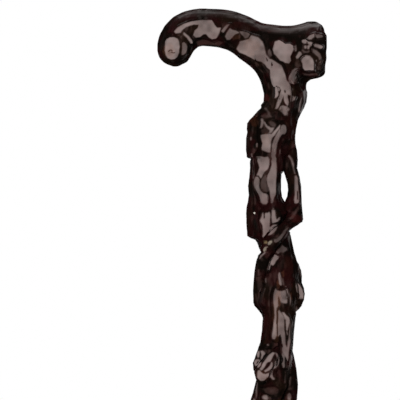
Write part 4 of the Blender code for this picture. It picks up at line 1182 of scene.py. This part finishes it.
def lacquer_material():
    """Dark lacquer that takes its colour and its dullness from the skin's two attributes."""
    made, nodes, links = new_material("dark_lacquer")
    shader = nodes["Principled BSDF"]
    set_inputs(shader, LACQUER)
    place = nodes.new("ShaderNodeTexCoord").outputs["Object"]
    grain = add_node(nodes, "TexNoise", LACQUER_GRAIN)
    links.new(place, grain.inputs["Vector"])
    shade = add_node(nodes, "MapRange", LACQUER_SHADES)
    links.new(grain.outputs["Fac"], shade.inputs["Value"])
    tinted = nodes.new("ShaderNodeVectorMath")
    tinted.operation = "SCALE"
    links.new(add_attribute(nodes, "tint").outputs["Color"], tinted.inputs[0])
    links.new(shade.outputs["Result"], tinted.inputs["Scale"])
    links.new(tinted.outputs["Vector"], shader.inputs["Base Color"])
    hollow = add_attribute(nodes, "hollow").outputs["Fac"]
    for socket, bright, dull, dullest in LACQUER_LEVELS:
        level = add_node(nodes, "MapRange", {"From Max": dullest, "To Min": bright, "To Max": dull})
        links.new(hollow, level.inputs["Value"])
        links.new(level.outputs["Result"], shader.inputs[socket])
    ripple = add_node(nodes, "TexNoise", LACQUER_RIPPLE)
    links.new(place, ripple.inputs["Vector"])
    bump = add_node(nodes, "Bump", RIPPLE_BUMP)
    links.new(ripple.outputs["Fac"], bump.inputs["Height"])
    links.new(bump.outputs["Normal"], shader.inputs["Normal"])
    links.new(bump.outputs["Normal"], shader.inputs["Coat Normal"])
    return made


def plain_material(name, dark, light, scale, rough, metallic=0.0, bump_depth=0.0, stretch=(1, 1, 1)):
    """A material that varies between two colours with fine noise."""
    made, nodes, links = new_material(name)
    shader = nodes["Principled BSDF"]
    set_inputs(shader, {"Metallic": metallic})
    place = nodes.new("ShaderNodeTexCoord")
    spread = add_node(nodes, "Mapping", {"Scale": stretch})
    grain = add_node(nodes, "TexNoise", {"Scale": scale, "Detail": PLAIN_DETAIL})
    links.new(place.outputs["Object"], spread.inputs["Vector"])
    links.new(spread.outputs["Vector"], grain.inputs["Vector"])
    ramp = nodes.new("ShaderNodeValToRGB")
    for stop, position, colour in zip(ramp.color_ramp.elements, PLAIN_RANGE, (dark, light)):
        stop.position = position
        stop.color = (*colour, 1)
    links.new(grain.outputs["Fac"], ramp.inputs["Fac"])
    links.new(ramp.outputs["Color"], shader.inputs["Base Color"])
    level = add_node(nodes, "MapRange", {"To Min": rough[0], "To Max": rough[1]})
    links.new(grain.outputs["Fac"], level.inputs["Value"])
    links.new(level.outputs["Result"], shader.inputs["Roughness"])
    if bump_depth:
        bump = add_node(nodes, "Bump", {"Strength": PLAIN_BUMP, "Distance": bump_depth})
        links.new(grain.outputs["Fac"], bump.inputs["Height"])
        links.new(bump.outputs["Normal"], shader.inputs["Normal"])
    return made


def rounded(section):
    """The half section with its corners rounded and its long sides divided."""
    made = [section[0]]
    for before, corner, after in zip(section, section[1:], section[2:]):
        before, corner, after = np.array(before), np.array(corner), np.array(after)
        start = corner + (before - corner) * min(ROUNDED_SHARE, ROUNDED / np.linalg.norm(before - corner))
        end = corner + (after - corner) * min(ROUNDED_SHARE, ROUNDED / np.linalg.norm(after - corner))
        for share in np.linspace(0, 1, ROUND_STEPS):
            made.append((1 - share) ** 2 * start + 2 * share * (1 - share) * corner + share**2 * end)
    made.append(section[-1])
    divided = [np.array(made[0], float)]
    for point in made[1:]:
        last = divided[-1]
        count = max(1, math.ceil(np.linalg.norm(np.array(point) - last) / LONGEST_STEP))
        for k in range(count):
            divided.append(last + (np.array(point) - last) * (k + 1) / count)
    return np.array(divided)


def turned_piece(name, section, node, material):
    """A finely turned piece, with a mould seam on its outside, that stands for a tip node."""
    profile = rounded(section)
    shape = bmesh.new()
    rings = []
    for k in range(TURNED_STEPS):
        angle = 2 * math.pi * k / TURNED_STEPS
        away = min(abs((math.degrees(angle) - seam + 180) % 360 - 180) for seam in SEAM_ANGLES)
        raised = SEAM_HEIGHT * max(0, 1 - (away / SEAM_WIDTH) ** 2)
        ring = []
        for radius, height in profile:
            radius = (radius + raised * (radius > SEAM_FROM)) * MM
            ring.append(shape.verts.new((radius * math.cos(angle), radius * math.sin(angle), height * MM)))
        rings.append(ring)
    for first, second in zip(rings, rings[1:] + rings[:1]):
        for k in range(len(profile) - 1):
            shape.faces.new((first[k], second[k], second[k + 1], first[k + 1]))
    bmesh.ops.remove_doubles(shape, verts=shape.verts, dist=MERGE_DISTANCE)
    bmesh.ops.recalc_face_normals(shape, faces=shape.faces)
    mesh = mesh_of(shape, name)
    mesh.shade_smooth()
    mesh.materials.append(material)
    piece = new_object(name, mesh)
    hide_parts(node)
    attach(piece, "tip")


def direction(azimuth, elevation):
    """A direction from the cane: azimuth 0 is towards the camera and grows towards +X."""
    a, e = math.radians(azimuth), math.radians(elevation)
    return Vector((math.sin(a) * math.cos(e), -math.cos(a) * math.cos(e), math.sin(e)))


def panel(name, azimuth, elevation, distance, width, height, radiance):
    """A soft panel light facing the cane, with the brightness that its surface shows in a mirror."""
    lamp = bpy.data.lights.new(name, "AREA")
    lamp.shape = "RECTANGLE"
    lamp.size = width
    lamp.size_y = height
    lamp.color = PANEL_COLOUR
    lamp.energy = radiance * math.pi * width * height
    made = new_object(name, lamp)
    away = direction(azimuth, elevation)
    made.location = LIGHT_CENTRE + away * distance
    made.rotation_mode = "QUATERNION"
    made.rotation_quaternion = away.to_track_quat("Z", "Y")
    made.visible_camera = False
    return made


def keep_off(lamps, surface):
    """Stops these lamps from drawing their own edges on a surface that they stand on."""
    unlit = bpy.data.collections.new("kept_from_panels")
    unlit.objects.link(surface)
    unlit.collection_objects[0].light_linking.link_state = "EXCLUDE"
    for lamp in lamps:
        lamp.light_linking.receiver_collection = unlit


def set_world():
    """White behind the cane for camera, mirror and glass rays, dim for the soft fill."""
    world = bpy.data.worlds.new("studio")
    bpy.context.scene.world = world
    world.use_nodes = True
    nodes, links = world.node_tree.nodes, world.node_tree.links
    nodes.clear()
    ray = nodes.new("ShaderNodeLightPath").outputs
    shown = add_node(nodes, "Background", {"Color": WHITE, "Strength": 1})
    fill = add_node(nodes, "Background", {"Color": FILL_COLOUR, "Strength": FILL_STRENGTH})
    out = nodes.new("ShaderNodeOutputWorld")
    direct = add_math(nodes, links, "MAXIMUM", ray["Is Camera Ray"], ray["Is Glossy Ray"])
    either = add_math(nodes, links, "MAXIMUM", direct, ray["Is Transmission Ray"])
    ends = (fill.outputs["Background"], shown.outputs["Background"])
    add_mix(nodes, links, either, *ends, out.inputs["Surface"])


def make_flags():
    """Dark studio screens round the set, open behind the cane; only mirror rays meet them."""
    turn = 360 / FLAG_SIDES
    ring = [direction(180 + turn * (k - FLAG_OPEN_SIDES / 2), 0) * FLAG_RADIUS for k in range(FLAG_SIDES)]
    shape = bmesh.new()
    rows = [[shape.verts.new((corner.x, corner.y, height)) for corner in ring] for height in FLAG_HEIGHTS]
    for level in range(len(rows) - 1):
        for k in range(FLAG_OPEN_SIDES if level == FLAG_OPEN_LEVEL else 0, FLAG_SIDES):
            after = (k + 1) % FLAG_SIDES
            shape.faces.new((rows[level][k], rows[level][after], rows[level + 1][after], rows[level + 1][k]))
    shape.faces.new(rows[0])
    shape.faces.new(rows[-1])
    mesh = mesh_of(shape, "dark_screens")
    screens = new_object("dark_screens", mesh)
    made, nodes, links = new_material("dark_cloth")
    nodes.remove(nodes["Principled BSDF"])
    glow = add_node(nodes, "Emission", {"Color": FILL_COLOUR, "Strength": SCREEN_GLOW})
    links.new(glow.outputs["Emission"], nodes["Material Output"].inputs["Surface"])
    mesh.materials.append(made)
    screens.visible_camera = False
    screens.visible_diffuse = False
    screens.visible_transmission = False
    screens.visible_shadow = False


def floor_material():
    """Pale paper that the camera sees nearly white, with the cane's shadow still on it."""
    made = plain_material("pale_floor", (0.78, 0.77, 0.76), (0.82, 0.81, 0.80), 12, (0.6, 0.8))
    nodes, links = made.node_tree.nodes, made.node_tree.links
    ray = nodes.new("ShaderNodeLightPath").outputs
    white = add_node(nodes, "Emission", {"Color": WHITE, "Strength": 1})
    share = add_math(nodes, links, "MULTIPLY", ray["Is Camera Ray"], FLOOR_WHITE)
    ends = (nodes["Principled BSDF"].outputs["BSDF"], white.outputs["Emission"])
    add_mix(nodes, links, share, *ends, nodes["Material Output"].inputs["Surface"])
    return made


def make_floor():
    """A round pale floor just under the cane's tip."""
    shape = bmesh.new()
    bmesh.ops.create_circle(shape, cap_ends=True, radius=FLOOR_RADIUS, segments=FLOOR_SIDES)
    mesh = mesh_of(shape, "floor")
    floor = new_object("floor", mesh)
    mesh.materials.append(floor_material())
    floor.location.z = FLOOR_LEVEL
    floor.visible_glossy = False
    floor.visible_shadow = False
    return floor


def set_camera():
    """The photo's view: from the front, level, and far enough away to show little perspective."""
    data = bpy.data.cameras.new("camera")
    data.sensor_width = SENSOR_WIDTH
    data.lens = LENS
    data.clip_end = CAMERA_CLIP
    camera = new_object("camera", data)
    camera.location = (FRAME_CENTRE_X, -CAMERA_DISTANCE, FRAME_CENTRE_Z)
    camera.rotation_euler = (math.pi / 2, 0, 0)
    bpy.context.scene.camera = camera


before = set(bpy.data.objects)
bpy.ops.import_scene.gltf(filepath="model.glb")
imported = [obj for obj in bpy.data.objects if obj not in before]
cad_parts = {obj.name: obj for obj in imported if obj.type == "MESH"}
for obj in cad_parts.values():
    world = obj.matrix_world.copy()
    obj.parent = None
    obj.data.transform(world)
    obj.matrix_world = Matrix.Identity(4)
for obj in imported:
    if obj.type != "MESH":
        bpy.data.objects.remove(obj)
cad_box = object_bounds()
bpy.context.scene.view_settings.view_transform = "Standard"
set_camera()
set_world()
make_flags()
floor = make_floor()
keep_off([panel(*row) for row in SIDE_PANELS], floor)
panel(*TOP_PANEL)
lacquer = lacquer_material()
make_skins()
dowel_wood = plain_material(
    "dowel_wood", (0.55, 0.38, 0.22), (0.70, 0.52, 0.33), 700, (0.5, 0.7), stretch=(1, 1, 0.08)
)
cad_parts["joint_dowel"].data.materials.clear()
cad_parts["joint_dowel"].data.materials.append(dowel_wood)
rubber = plain_material(
    "black_rubber", (0.014, 0.014, 0.0145), (0.026, 0.0255, 0.025), 900, (0.42, 0.68), bump_depth=0.0001
)
steel = plain_material("plated_steel", (0.55, 0.54, 0.52), (0.72, 0.71, 0.69), 800, (0.2, 0.4), metallic=1.0)
turned_piece("tip_rubber", TIP_SECTION, "rubber_tip", rubber)
turned_piece("tip_steel", WASHER_SECTION, "tip_washer", steel)
